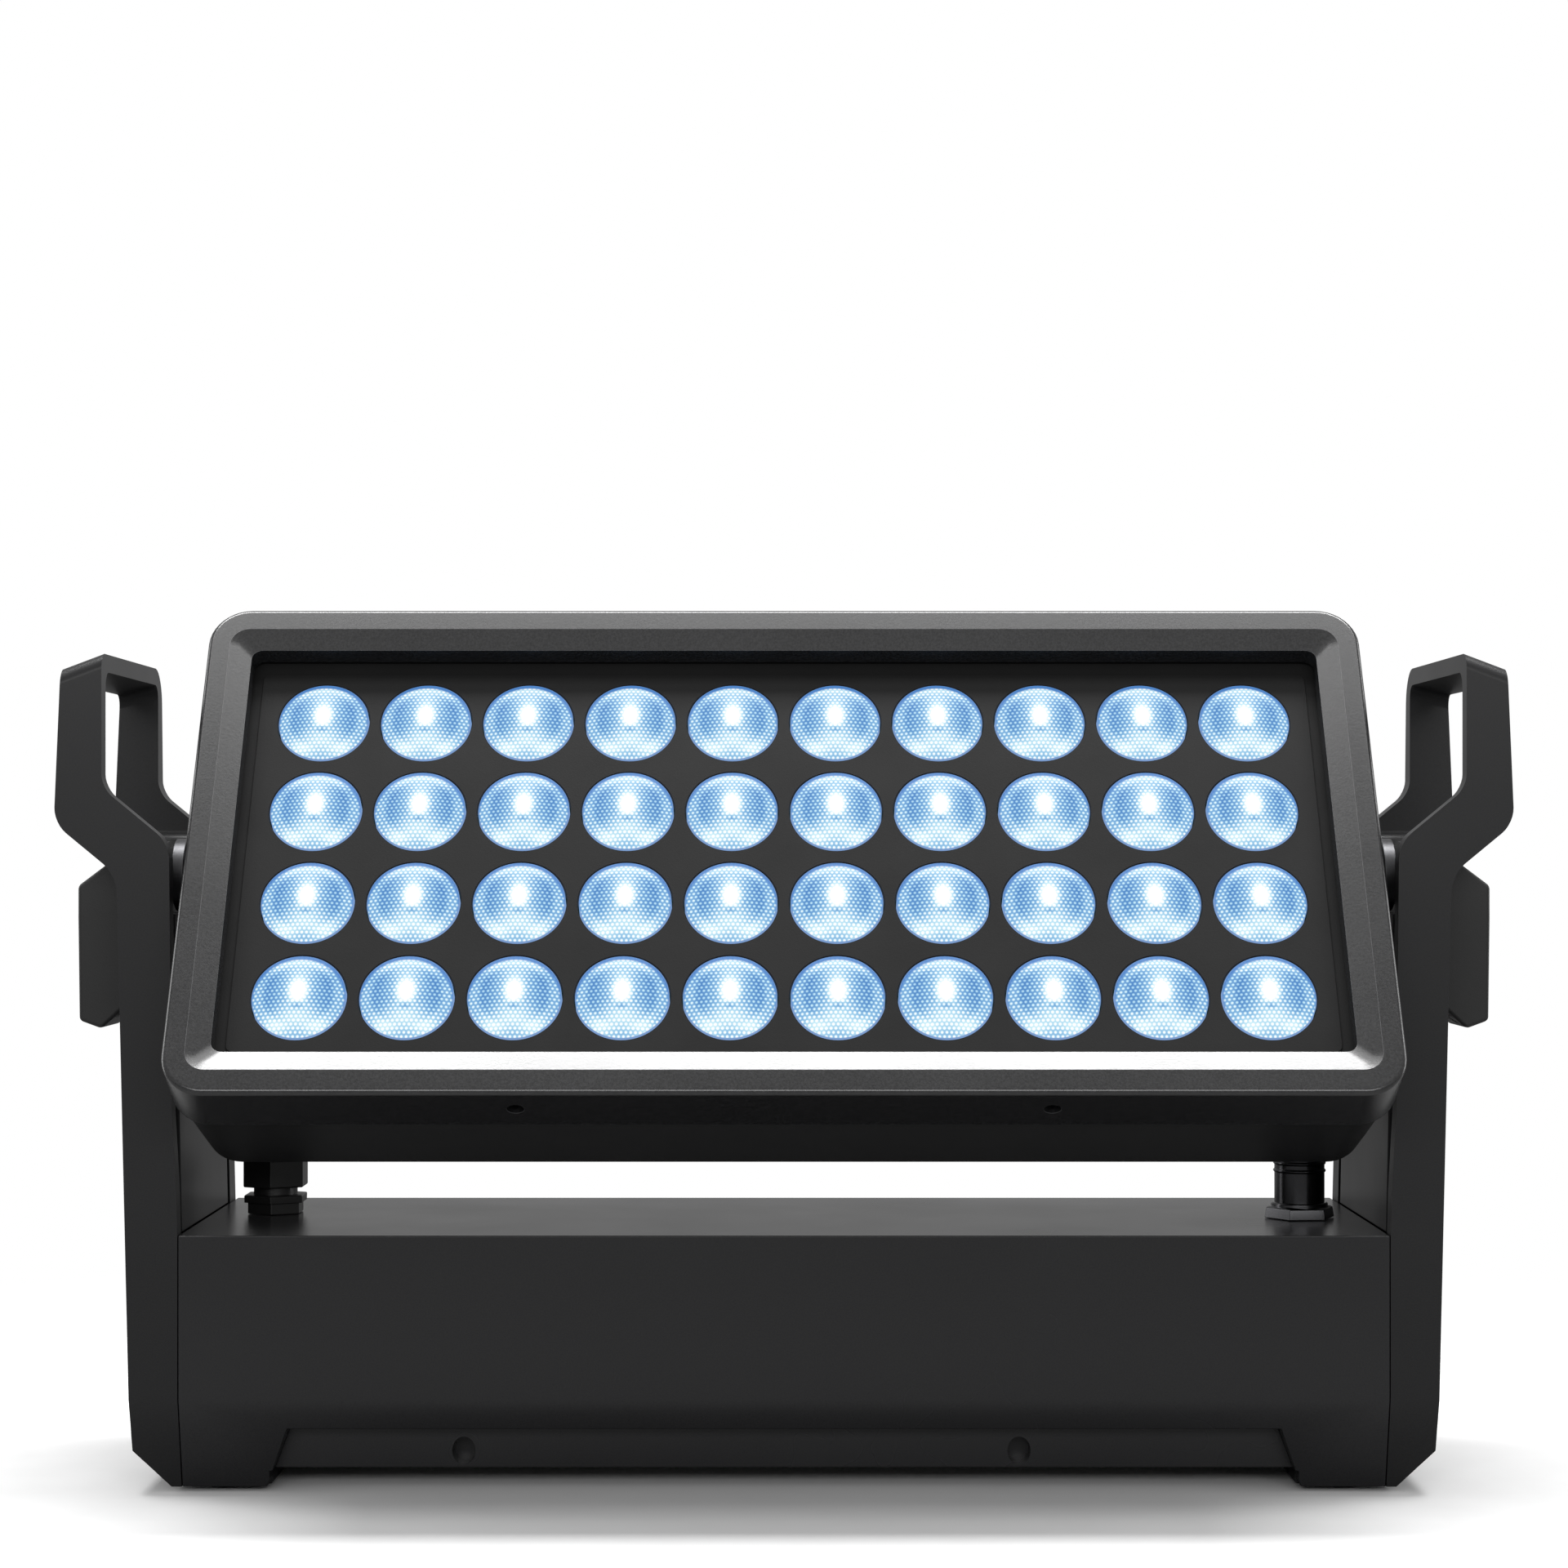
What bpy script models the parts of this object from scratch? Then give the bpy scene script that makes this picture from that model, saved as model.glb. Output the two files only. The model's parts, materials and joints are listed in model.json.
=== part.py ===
"""LED wash light with a tilting head on a floor base.

The origin is on the floor below the tilt axis. +X is the light's right side as seen from
the front, -Y is the side that the light faces, and +Z is up. Lengths are in metres.
"""
import math

import bmesh
import bpy
from mathutils import Matrix, Vector

MM = 0.001

# Gaps between pieces that rest on each other, and of a shaft in its hole
FIT = 0.3 * MM
SHAFT_CLEARANCE = 0.35 * MM

# Lens field: ten columns by four rows
LENS_COLUMNS = 10
LENS_ROWS = 4
LENS_PITCH_X = 42.0 * MM
LENS_PITCH_Z = 43.0 * MM
LENS_DIAMETER = 37.5 * MM
LENS_EDGE = 0.35 * MM
LENS_DOME = 3.4 * MM
LENS_STRIP_THICKNESS = 6.0 * MM
LENS_STRIP_CORNER = 3.0 * MM
LENS_FACETS = 12

# Bezel: the frame in front of the lens field
BEZEL_MARGIN_X = 11.7 * MM
BEZEL_MARGIN_Z = 10.5 * MM
BEZEL_CHAMFER = 9.1 * MM
BEZEL_CHAMFER_DEPTH = 2.7 * MM
BEZEL_FLAT_X = 9.0 * MM
BEZEL_FLAT_Z = 10.2 * MM
BEZEL_EDGE = 1.5 * MM
BEZEL_WALL = 6.0 * MM
BEZEL_DEPTH = 26.0 * MM
BEZEL_CORNER = 17.0 * MM
BEZEL_OPENING_CORNER = 4.5 * MM
BEZEL_LIP = 8.3 * MM
LENS_RECESS = 12.6 * MM
DRAIN_HOLE_DIAMETER = 6.8 * MM
DRAIN_HOLE_SPACING = 205.0 * MM

# Mask, gasket, board, heatsink and housing behind the lenses
MASK_THICKNESS = 3.0 * MM
MASK_BORDER_X = 3.7 * MM
MASK_BORDER_Z = 5.1 * MM
MASK_FIELD_CORNER = 3.0 * MM
MASK_STEP = 0.8 * MM
GASKET_THICKNESS = 2.0 * MM
BOARD_THICKNESS = 1.6 * MM
BOARD_MARGIN = 4.0 * MM
SINK_BASE = 6.0 * MM
FIN_COUNT = 25
FIN_THICKNESS = 2.2 * MM
FIN_HEIGHT = 42.0 * MM
FIN_END_GAP = 8.0 * MM
HOUSING_DEPTH = 70.3 * MM
HOUSING_WALL = 3.5 * MM
HOUSING_TAPER = 16.5 * MM
HOUSING_STEP = 1.6 * MM
HOUSING_REAR_CORNER = 19.5 * MM
HOUSING_REAR_ROUND = 3.1 * MM
REAR_COVER_THICKNESS = 3.0 * MM
REAR_COVER_EDGE = 16.0 * MM
REAR_COVER_LAP = 5.0 * MM
REAR_COVER_CORNER = 12.0 * MM

# Three fans behind the heatsink
FAN_COUNT = 3
FAN_PITCH = 132.0 * MM
FAN_SIZE = 92.0 * MM
FAN_DEPTH = 20.0 * MM
FAN_BORE = 87.0 * MM
FAN_HUB = 34.0 * MM
FAN_BLADES = 7
FAN_TIP_GAP = 2.5 * MM
FAN_BLADE_THICKNESS = 1.2 * MM
FAN_CORNER = 4.0 * MM
FAN_STRUT = 5.0 * MM
FAN_STRUT_DEPTH = 3.0 * MM
VENT_SLOT = 5.5 * MM
VENT_PITCH = 11.0 * MM
VENT_PLUG_RADIUS = 7.0 * MM
VENT_PLUG_INSET = 20.0 * MM
VENT_PLUG_HEIGHT = 4.0 * MM

# Tilt axis: its height, its place in the head, and the limits of the tilt
BASE_TOP = 103.6 * MM
PIVOT_RISE = 143.7 * MM
PIVOT_BEHIND_MASK = 42.9 * MM
PIVOT_ABOVE_LENSES = 17.4 * MM
TILT_REST = math.radians(31.75)

# Hubs, washers, bolts and levers on the tilt axis
HUB_RADIUS = 15.0 * MM
HUB_RIM = 5.0 * MM
HUB_NECK_RADIUS = 11.0 * MM
HUB_FLANGE_RADIUS = 21.0 * MM
HUB_FLANGE = 3.0 * MM
HUB_REACH = 15.4 * MM
HUB_BORE_DEPTH = 9.0 * MM
HUB_EDGE = 0.8 * MM
WASHER_THICKNESS = 2.0 * MM
WASHER_RADIUS = 12.0 * MM
BOLT_RADIUS = 5.0 * MM
BOLT_EYE_RADIUS = 5.2 * MM
BOLT_EYE_WIDTH = 8.0 * MM
BOLT_FLAT_START = 8.8 * MM
LEVER_PIN_RADIUS = 2.0 * MM
LEVER_PIN_OUT = 9.0 * MM
LEVER_WIDTH = 38.0 * MM
LEVER_DROP = 62.8 * MM
LEVER_THICKNESS = 21.0 * MM
LEVER_RELIEF = 6.0 * MM
LEVER_GAP = 0.9 * MM

# Base housing
BASE_SIDE_GAP = 4.5 * MM
BASE_FRONT = 48.0 * MM
BASE_DEPTH = 140.0 * MM
BASE_WALL = 3.0 * MM
BASE_END_WALL = 4.0 * MM
BASE_EDGE = 1.5 * MM
TOE_HEIGHT = 38.0 * MM
TOE_SETBACK = 9.5 * MM
FOOT_CLEARANCE = 1.5 * MM
UNDERSIDE = 8.0 * MM
RECESS_HEIGHT = 25.8 * MM
RECESS_DEPTH = 15.6 * MM
RECESS_TOP_HALF = 199.0 * MM
RECESS_SLANT = 10.0 * MM
RECESS_HOLE_LEFT = 129.0 * MM
RECESS_HOLE_RIGHT = 95.0 * MM
RECESS_HOLE_HEIGHT = 16.4 * MM
RECESS_HOLE_RADIUS = 5.0 * MM
RUBBER_FOOT_RADIUS = 11.0 * MM
RUBBER_FOOT_SEAT = 2.5 * MM
FOOT_INSET_X = 16.0 * MM
FOOT_INSET_Y = 16.0 * MM

# Carrying arms
ARM_FOOT_THICKNESS = 19.0 * MM
ARM_LEAN = 5.3 * MM
ARM_INNER_LEAN = 3.3 * MM
ARM_CHAMFER = 15.2 * MM
ARM_FLARE = 25.1 * MM
ARM_BEND_RISE = 20.7 * MM
ARM_BEND_OUTER = 0.4 * MM
ARM_BEND_INNER = 13.0 * MM
ARM_SHOULDER_RADIUS = 14.0 * MM
ARM_THROAT_RADIUS = 12.0 * MM
GRIP_THICKNESS = 19.1 * MM
GRIP_TOP = 89.1 * MM
GRIP_TOP_SLANT = 5.7 * MM
GRIP_DEPTH = 124.0 * MM
ARM_DEPTH = 136.0 * MM
ARM_TAPER_FROM = 120.0 * MM
GRIP_FRONT_ROUND = 6.0 * MM
GRIP_REAR_ROUND = 14.0 * MM
GRIP_BAR = 7.2 * MM
ARM_WALL = 8.0 * MM
ARM_SKIN = 8.0 * MM
WINDOW_ABOVE_PIVOT = 15.0 * MM
POCKET_FLOOR = 12.0 * MM
ARM_EDGE = 1.0 * MM

# Cover plate on the inner side of each arm
COVER_TOP_BELOW_PIVOT = 15.5 * MM
COVER_GROOVE = 4.0 * MM
COVER_THICKNESS = 2.5 * MM

# Cable glands on the base's top
GLAND_INSET = 26.05 * MM
GLAND_LEFT_Y = 34.0 * MM
GLAND_RIGHT_Y = 15.0 * MM
GLAND_HEX = 28.5 * MM
GLAND_HEIGHT = 26.0 * MM

# Rear panel and what it carries
REAR_PANEL_THICKNESS = 2.5 * MM
REAR_PANEL_MARGIN = 3.0 * MM
REAR_OPENING_MARGIN = 8.0 * MM
REAR_PANEL_CORNER = 4.0 * MM
CONNECTOR_FLANGE = 31.0 * MM
CONNECTOR_FLANGE_DEPTH = 3.0 * MM
CONNECTOR_RADIUS = 12.5 * MM
CONNECTOR_REACH = 20.5 * MM
CONNECTOR_SOCKET_RADIUS = 9.5 * MM
CONNECTOR_SOCKET_DEPTH = 15.0 * MM
CONNECTOR_PITCH = 44.0 * MM
CONNECTOR_FIRST_X = 70.0 * MM
CONTROL_X = -120.0 * MM
CONTROL_WIDTH = 150.0 * MM
CONTROL_HEIGHT = 42.0 * MM
CONTROL_THICKNESS = 3.0 * MM
DISPLAY_WIDTH = 62.0 * MM
DISPLAY_HEIGHT = 26.0 * MM
DISPLAY_INSET = 39.0 * MM
DISPLAY_POCKET_FLOOR = 1.0 * MM
DISPLAY_SUNK = 0.4 * MM
BUTTON_COUNT = 4
BUTTON_RADIUS = 4.2 * MM
BUTTON_PITCH = 15.0 * MM
BUTTON_PROUD = 3.0 * MM
BUTTON_TRAVEL = 1.2 * MM
BUTTON_INSET = 39.0 * MM

# Board and supply inside the base, and bracket pads under it
CONTROL_BOARD_MARGIN = 6.0 * MM
CONTROL_BOARD_EDGE = 1.0 * MM
PILLAR_SIZE = 5.0 * MM
PILLAR_HEIGHT = 6.0 * MM
SUPPLY_LENGTH = 220.0 * MM
SUPPLY_WIDTH = 60.0 * MM
SUPPLY_HEIGHT = 52.0 * MM
SUPPLY_X = 100.0 * MM
SUPPLY_Y = 12.0 * MM
PAD_SPACING = 220.0 * MM
PAD_LENGTH = 80.0 * MM
PAD_WIDTH = 44.0 * MM
PAD_THICKNESS = 4.0 * MM
PAD_HOLE_RADIUS = 5.0 * MM
PAD_HOLE_SPACING = 50.0 * MM

# Places worked out from the sizes above
PIVOT_Z = BASE_TOP + PIVOT_RISE
BASE_BACK = BASE_DEPTH - BASE_FRONT
MASK_Y = -PIVOT_BEHIND_MASK
GRID_Z = -PIVOT_ABOVE_LENSES
LENS_RADIUS = LENS_DIAMETER / 2
OPENING_HALF_X = LENS_PITCH_X * (LENS_COLUMNS - 1) / 2 + LENS_RADIUS + BEZEL_MARGIN_X
OPENING_HALF_Z = LENS_PITCH_Z * (LENS_ROWS - 1) / 2 + LENS_RADIUS + BEZEL_MARGIN_Z
BEZEL_HALF_X = OPENING_HALF_X + BEZEL_CHAMFER + BEZEL_FLAT_X
BEZEL_HALF_Z = OPENING_HALF_Z + BEZEL_CHAMFER + BEZEL_FLAT_Z
BEZEL_FRONT_Y = MASK_Y - LENS_RECESS
BEZEL_BACK_Y = BEZEL_FRONT_Y + BEZEL_DEPTH
MASK_BACK_Y = MASK_Y + MASK_THICKNESS
STRIP_BACK_Y = MASK_BACK_Y + FIT + LENS_STRIP_THICKNESS
HOUSING_FRONT_Y = BEZEL_BACK_Y + FIT
HOUSING_BACK_Y = HOUSING_FRONT_Y + HOUSING_DEPTH
HOUSING_HALF_X = BEZEL_HALF_X - HOUSING_STEP
HOUSING_HALF_Z = BEZEL_HALF_Z - HOUSING_STEP
HOUSING_REAR_HALF_Z = HOUSING_HALF_Z - HOUSING_TAPER
BOARD_Y = STRIP_BACK_Y + FIT
SINK_Y = BOARD_Y + BOARD_THICKNESS + FIT
FIN_TIP_Y = SINK_Y + SINK_BASE + FIN_HEIGHT
FAN_Y = FIN_TIP_Y + FIT
BASE_HALF_X = BEZEL_HALF_X + BASE_SIDE_GAP
ARM_X = BASE_HALF_X + FIT
ARM_BACK = ARM_DEPTH - BASE_FRONT
REAR_FACE_Y = BASE_BACK + FIT
PANEL_FACE_Y = REAR_FACE_Y + REAR_PANEL_THICKNESS
PANEL_MID_Z = (TOE_HEIGHT + BASE_TOP) / 2
GLAND_X = BASE_HALF_X - GLAND_INSET
DISPLAY_X = CONTROL_X - CONTROL_WIDTH / 2 + DISPLAY_INSET
BUTTONS_X = CONTROL_X + CONTROL_WIDTH / 2 - BUTTON_INSET

MODEL = bpy.data.collections.new("led_wash_light")
TOOLS = bpy.data.collections.new("cutters")


def clear_scene():
    for item in list(bpy.data.objects):
        bpy.data.objects.remove(item, do_unlink=True)
    bpy.context.scene.collection.children.link(MODEL)
    bpy.context.scene.collection.children.link(TOOLS)


def material(name, colour, roughness, metallic=0.0, glow=0.0):
    """Return the Principled material of this name, made on first use."""
    found = bpy.data.materials.get(name)
    if found:
        return found
    made = bpy.data.materials.new(name)
    made.use_nodes = True
    shader = made.node_tree.nodes["Principled BSDF"]
    shader.inputs["Base Color"].default_value = (*colour, 1.0)
    shader.inputs["Roughness"].default_value = roughness
    shader.inputs["Metallic"].default_value = metallic
    shader.inputs["Emission Color"].default_value = (*colour, 1.0)
    shader.inputs["Emission Strength"].default_value = glow
    return made


def black_paint():
    return material("black_powder_coat", (0.028, 0.028, 0.029), 0.45)


def bezel_paint():
    return material("bezel_powder_coat", (0.055, 0.055, 0.056), 0.5)


def mask_plastic():
    return material("mask_plastic", (0.022, 0.022, 0.023), 0.6)


def lens_plastic():
    return material("lens_acrylic", (0.35, 0.66, 0.95), 0.2, glow=1.0)


def black_rubber():
    return material("black_rubber", (0.012, 0.012, 0.012), 0.8)


def bare_aluminium():
    return material("bare_aluminium", (0.5, 0.5, 0.5), 0.35, 1.0)


def zinc_steel():
    return material("zinc_plated_steel", (0.45, 0.45, 0.44), 0.3, 1.0)


def black_plastic():
    return material("black_plastic", (0.018, 0.018, 0.018), 0.5)


def board_laminate():
    return material("board_laminate", (0.02, 0.09, 0.04), 0.5)


def display_plastic():
    return material("display_window", (0.01, 0.014, 0.02), 0.1)


def shade(mesh, angle=30.0):
    mesh.shade_smooth()
    mesh.set_sharp_from_angle(angle=math.radians(angle))


def add_piece(name, form, look, parent=None, smooth=False):
    """Turn a bmesh into a named object of the model."""
    bmesh.ops.recalc_face_normals(form, faces=form.faces)
    mesh = bpy.data.meshes.new(name)
    form.to_mesh(mesh)
    form.free()
    mesh.materials.append(look)
    if smooth:
        shade(mesh)
    piece = bpy.data.objects.new(name, mesh)
    piece.parent = parent
    MODEL.objects.link(piece)
    return piece


def add_tool(name, form, parent=None):
    """Turn a bmesh into a cutter or a body that is joined to a piece."""
    piece = add_piece(name, form, black_plastic(), parent)
    MODEL.objects.unlink(piece)
    TOOLS.objects.link(piece)
    piece.hide_render = True
    piece.display_type = "WIRE"
    return piece


def combine(piece, tool, operation="DIFFERENCE"):
    change = piece.modifiers.new(tool.name, "BOOLEAN")
    change.operation = operation
    change.object = tool
    return change


def prism(outline, axis, low, high):
    """Extrude a flat outline along an axis; its two numbers are the other two axes in order."""
    form = bmesh.new()
    place = {
        "X": lambda a, b: (low, a, b),
        "Y": lambda a, b: (a, low, b),
        "Z": lambda a, b: (a, b, low),
    }[axis]
    step = {"X": (high - low, 0, 0), "Y": (0, high - low, 0), "Z": (0, 0, high - low)}[axis]
    face = form.faces.new([form.verts.new(place(a, b)) for a, b in outline])
    moved = bmesh.ops.extrude_face_region(form, geom=[face])["geom"]
    bmesh.ops.translate(form, vec=step, verts=[v for v in moved if isinstance(v, bmesh.types.BMVert)])
    return form


def add_block(form, size, middle):
    """Add a box to a bmesh."""
    made = bmesh.ops.create_cube(form, size=1.0)["verts"]
    bmesh.ops.scale(form, vec=size, verts=made)
    bmesh.ops.translate(form, vec=middle, verts=made)


def block(corner, opposite):
    """A box between two corners, given in any order."""
    form = bmesh.new()
    one = Vector(corner)
    two = Vector(opposite)
    size = [abs(a - b) for a, b in zip(one, two)]
    add_block(form, size, (one + two) / 2)
    return form


def rounded_rectangle(half_a, half_b, radius, steps=4, centre=(0.0, 0.0)):
    points = []
    corners = ((1, 1, 0), (-1, 1, 90), (-1, -1, 180), (1, -1, 270))
    for sign_a, sign_b, start in corners:
        for step in range(steps + 1):
            angle = math.radians(start + 90 * step / steps)
            a = centre[0] + sign_a * (half_a - radius) + radius * math.cos(angle)
            b = centre[1] + sign_b * (half_b - radius) + radius * math.sin(angle)
            points.append((a, b))
    return points


def rounded_outline(corners, steps=4):
    """An outline from (a, b, radius) corners; a radius of zero keeps the corner sharp."""
    points = []
    count = len(corners)
    for index, (a, b, radius) in enumerate(corners):
        here = Vector((a, b))
        if radius <= 0:
            points.append((a, b))
            continue
        before = (Vector(corners[index - 1][:2]) - here).normalized()
        after = (Vector(corners[(index + 1) % count][:2]) - here).normalized()
        half = before.angle(after) / 2
        centre = here + (before + after).normalized() * (radius / math.sin(half))
        start = here + before * (radius / math.tan(half)) - centre
        end = here + after * (radius / math.tan(half)) - centre
        for step in range(steps + 1):
            spoke = start.normalized().slerp(end.normalized(), step / steps) * radius
            points.append(tuple(centre + spoke))
    return points


def loft(loops, ring=False):
    """Skin matching loops of points; a ring is closed on itself, otherwise its ends are capped."""
    form = bmesh.new()
    rows = [[form.verts.new(point) for point in loop] for loop in loops]
    count = len(rows[0])
    pairs = list(zip(rows, rows[1:]))
    if ring:
        pairs.append((rows[-1], rows[0]))
    else:
        form.faces.new(rows[0])
        form.faces.new(rows[-1])
    for one, two in pairs:
        for index in range(count):
            after = (index + 1) % count
            form.faces.new((one[index], one[after], two[after], two[index]))
    return form


def head_loop(half_x, half_z, radius, y):
    """A rounded rectangle round the lens field's centre, at depth y in the head."""
    outline = rounded_rectangle(half_x, half_z, radius, steps=3, centre=(0.0, GRID_Z))
    return [(a, y, b) for a, b in outline]


def turned(name, profile, look, steps=24, closed=False, parent=None, tool=False):
    """A turned piece about its own Z; the profile lists (radius, height) from the top down."""
    mesh = bpy.data.meshes.new(name)
    edges = [(index, index + 1) for index in range(len(profile) - 1)]
    if closed:
        edges.append((len(profile) - 1, 0))
    mesh.from_pydata([(radius, 0.0, height) for radius, height in profile], edges, [])
    mesh.materials.append(look)
    piece = bpy.data.objects.new(name, mesh)
    piece.parent = parent
    screw = piece.modifiers.new("turn", "SCREW")
    screw.steps = steps
    screw.render_steps = steps
    screw.use_merge_vertices = True
    screw.merge_threshold = 0.00001
    screw.use_smooth_shade = not tool
    if tool:
        TOOLS.objects.link(piece)
        piece.hide_render = True
        piece.display_type = "WIRE"
    else:
        MODEL.objects.link(piece)
    return piece


def place(piece, location, towards="Z"):
    """Put a turned piece at a point with its top end towards an axis."""
    turns = {
        "Z": (0.0, 0.0, 0.0),
        "X": (0.0, math.pi / 2, 0.0),
        "-X": (0.0, -math.pi / 2, 0.0),
        "Y": (-math.pi / 2, 0.0, 0.0),
        "-Y": (math.pi / 2, 0.0, 0.0),
        "-Z": (math.pi, 0.0, 0.0),
    }
    piece.location = location
    piece.rotation_euler = turns[towards]
    return piece


def repeat(piece, count, step):
    array = piece.modifiers.new("repeat", "ARRAY")
    array.count = count
    array.use_relative_offset = False
    array.use_constant_offset = True
    array.constant_offset_displace = step
    return array


def cylinder(radius, low, high, name, steps, parent=None):
    """A round cutter, or a round body that is joined to a piece."""
    profile = [(0, high), (radius, high), (radius, low), (0, low)]
    return turned(name, profile, black_plastic(), steps=steps, parent=parent, tool=True)


def add_cylinder(form, radius, depth, centre, across=False, steps=12):
    """Add a cylinder to a bmesh, upright or lying from front to back, and return its verts."""
    size = {"radius1": radius, "radius2": radius, "depth": depth}
    made = bmesh.ops.create_cone(form, cap_ends=True, segments=steps, **size)["verts"]
    if across:
        turn = Matrix.Rotation(math.pi / 2, 3, "X")
        bmesh.ops.rotate(form, cent=(0, 0, 0), matrix=turn, verts=made)
    bmesh.ops.translate(form, vec=centre, verts=made)
    return made


def outward(side):
    return "X" if side > 0 else "-X"


def hexagon(across_flats, low, high):
    radius = across_flats / 2 / math.cos(math.pi / 6)
    points = [(radius * math.cos(math.pi * k / 3), radius * math.sin(math.pi * k / 3)) for k in range(6)]
    return prism(points, "Z", low, high)


def bezel_frame(head):
    """Cast frame: wide flat face, inner chamfer, and a side wall that hides the joint."""
    inner_x = OPENING_HALF_X
    inner_z = OPENING_HALF_Z
    lip_y = BEZEL_FRONT_Y + BEZEL_CHAMFER_DEPTH + BEZEL_LIP
    edge_x = BEZEL_HALF_X - BEZEL_EDGE
    edge_z = BEZEL_HALF_Z - BEZEL_EDGE
    flat_x = inner_x + BEZEL_CHAMFER
    flat_z = inner_z + BEZEL_CHAMFER
    wall_x = BEZEL_HALF_X - BEZEL_WALL
    wall_z = BEZEL_HALF_Z - BEZEL_WALL
    inner_corner = BEZEL_OPENING_CORNER
    flat_corner = BEZEL_CORNER - BEZEL_FLAT_X
    loops = [
        head_loop(BEZEL_HALF_X, BEZEL_HALF_Z, BEZEL_CORNER, BEZEL_BACK_Y),
        head_loop(BEZEL_HALF_X, BEZEL_HALF_Z, BEZEL_CORNER, BEZEL_FRONT_Y + BEZEL_EDGE),
        head_loop(edge_x, edge_z, BEZEL_CORNER - BEZEL_EDGE, BEZEL_FRONT_Y),
        head_loop(flat_x, flat_z, flat_corner, BEZEL_FRONT_Y),
        head_loop(inner_x, inner_z, inner_corner, BEZEL_FRONT_Y + BEZEL_CHAMFER_DEPTH),
        head_loop(inner_x, inner_z, inner_corner, lip_y),
        head_loop(wall_x, wall_z, BEZEL_CORNER - BEZEL_WALL, lip_y),
        head_loop(wall_x, wall_z, BEZEL_CORNER - BEZEL_WALL, BEZEL_BACK_Y),
    ]
    frame = add_piece("bezel_frame", loft(loops, ring=True), bezel_paint(), head)
    reach = BEZEL_WALL * 2
    hole = cylinder(DRAIN_HOLE_DIAMETER / 2, -reach, reach, "drain_hole", 8, head)
    place(hole, (-DRAIN_HOLE_SPACING / 2, (BEZEL_FRONT_Y + BEZEL_BACK_Y) / 2, GRID_Z - BEZEL_HALF_Z))
    repeat(hole, 2, (DRAIN_HOLE_SPACING, 0, 0))
    combine(frame, hole)


def lens_holes(head, radius, reach):
    """A cutter of one cylinder for each lens."""
    holes = cylinder(radius, -reach, reach, "lens_holes", LENS_FACETS, head)
    left = -LENS_PITCH_X * (LENS_COLUMNS - 1) / 2
    low = GRID_Z - LENS_PITCH_Z * (LENS_ROWS - 1) / 2
    place(holes, (left, MASK_Y, low), "-Y")
    repeat(holes, LENS_COLUMNS, (LENS_PITCH_X, 0, 0))
    repeat(holes, LENS_ROWS, (0, LENS_PITCH_Z, 0))
    return holes


def mask_half_size():
    inset = BEZEL_WALL + FIT
    return BEZEL_HALF_X - inset, BEZEL_HALF_Z - inset, BEZEL_CORNER - inset


def lens_mask(head):
    """Black plate with a raised field and one round hole for each lens."""
    half_x, half_z, corner = mask_half_size()
    field_x = OPENING_HALF_X - MASK_BORDER_X
    field_z = OPENING_HALF_Z - MASK_BORDER_Z
    loops = [
        head_loop(half_x, half_z, corner, MASK_BACK_Y),
        head_loop(half_x, half_z, corner, MASK_Y + MASK_STEP),
        head_loop(field_x, field_z, MASK_FIELD_CORNER, MASK_Y + MASK_STEP),
        head_loop(field_x, field_z, MASK_FIELD_CORNER, MASK_Y),
    ]
    mask = add_piece("lens_mask", loft(loops), mask_plastic(), head)
    combine(mask, lens_holes(head, LENS_RADIUS, MASK_THICKNESS * 2))


def lens_strip(head, row):
    """One moulded strip with a row of domed lenses that stand in the mask's holes."""
    z = GRID_Z + LENS_PITCH_Z * (row - (LENS_ROWS - 1) / 2)
    half_x = LENS_PITCH_X * LENS_COLUMNS / 2
    half_z = LENS_PITCH_Z / 2 - FIT
    front = MASK_BACK_Y + FIT
    outline = rounded_rectangle(half_x, half_z, LENS_STRIP_CORNER, steps=2, centre=(0.0, z))
    name = "lens_strip_%d" % (row + 1)
    strip = add_piece(name, prism(outline, "Y", front, front + LENS_STRIP_THICKNESS), lens_plastic(), head)
    radius = LENS_RADIUS - LENS_EDGE
    depth = LENS_STRIP_THICKNESS / 2
    profile = [(0, LENS_DOME), (radius * 0.55, LENS_DOME * 0.72), (radius, 0.4 * MM)]
    profile += [(radius, MASK_Y - front - depth), (0, MASK_Y - front - depth)]
    domes = "lens_domes_%d" % (row + 1)
    dome = turned(domes, profile, lens_plastic(), steps=LENS_FACETS, parent=head, tool=True)
    place(dome, (-LENS_PITCH_X * (LENS_COLUMNS - 1) / 2, MASK_Y, z), "-Y")
    repeat(dome, LENS_COLUMNS, (LENS_PITCH_X, 0, 0))
    combine(strip, dome, "UNION")


def gasket(head):
    """Rubber ring between the mask and the housing, inside the bezel."""
    outer_x, outer_z, corner = mask_half_size()
    front = MASK_BACK_Y + FIT
    inner_x = outer_x - GASKET_THICKNESS * 2
    inner_z = outer_z - GASKET_THICKNESS * 2
    back = BEZEL_BACK_Y
    loops = [
        head_loop(outer_x, outer_z, corner, back),
        head_loop(outer_x, outer_z, corner, front),
        head_loop(inner_x, inner_z, corner - GASKET_THICKNESS, front),
        head_loop(inner_x, inner_z, corner - GASKET_THICKNESS, back),
    ]
    add_piece("front_gasket", loft(loops, ring=True), black_rubber(), head)


def led_board(head):
    half_x = LENS_PITCH_X * LENS_COLUMNS / 2
    half_z = LENS_PITCH_Z * LENS_ROWS / 2
    outline = rounded_rectangle(half_x, half_z, BOARD_MARGIN, steps=2, centre=(0.0, GRID_Z))
    add_piece("led_board", prism(outline, "Y", BOARD_Y, BOARD_Y + BOARD_THICKNESS), board_laminate(), head)


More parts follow.
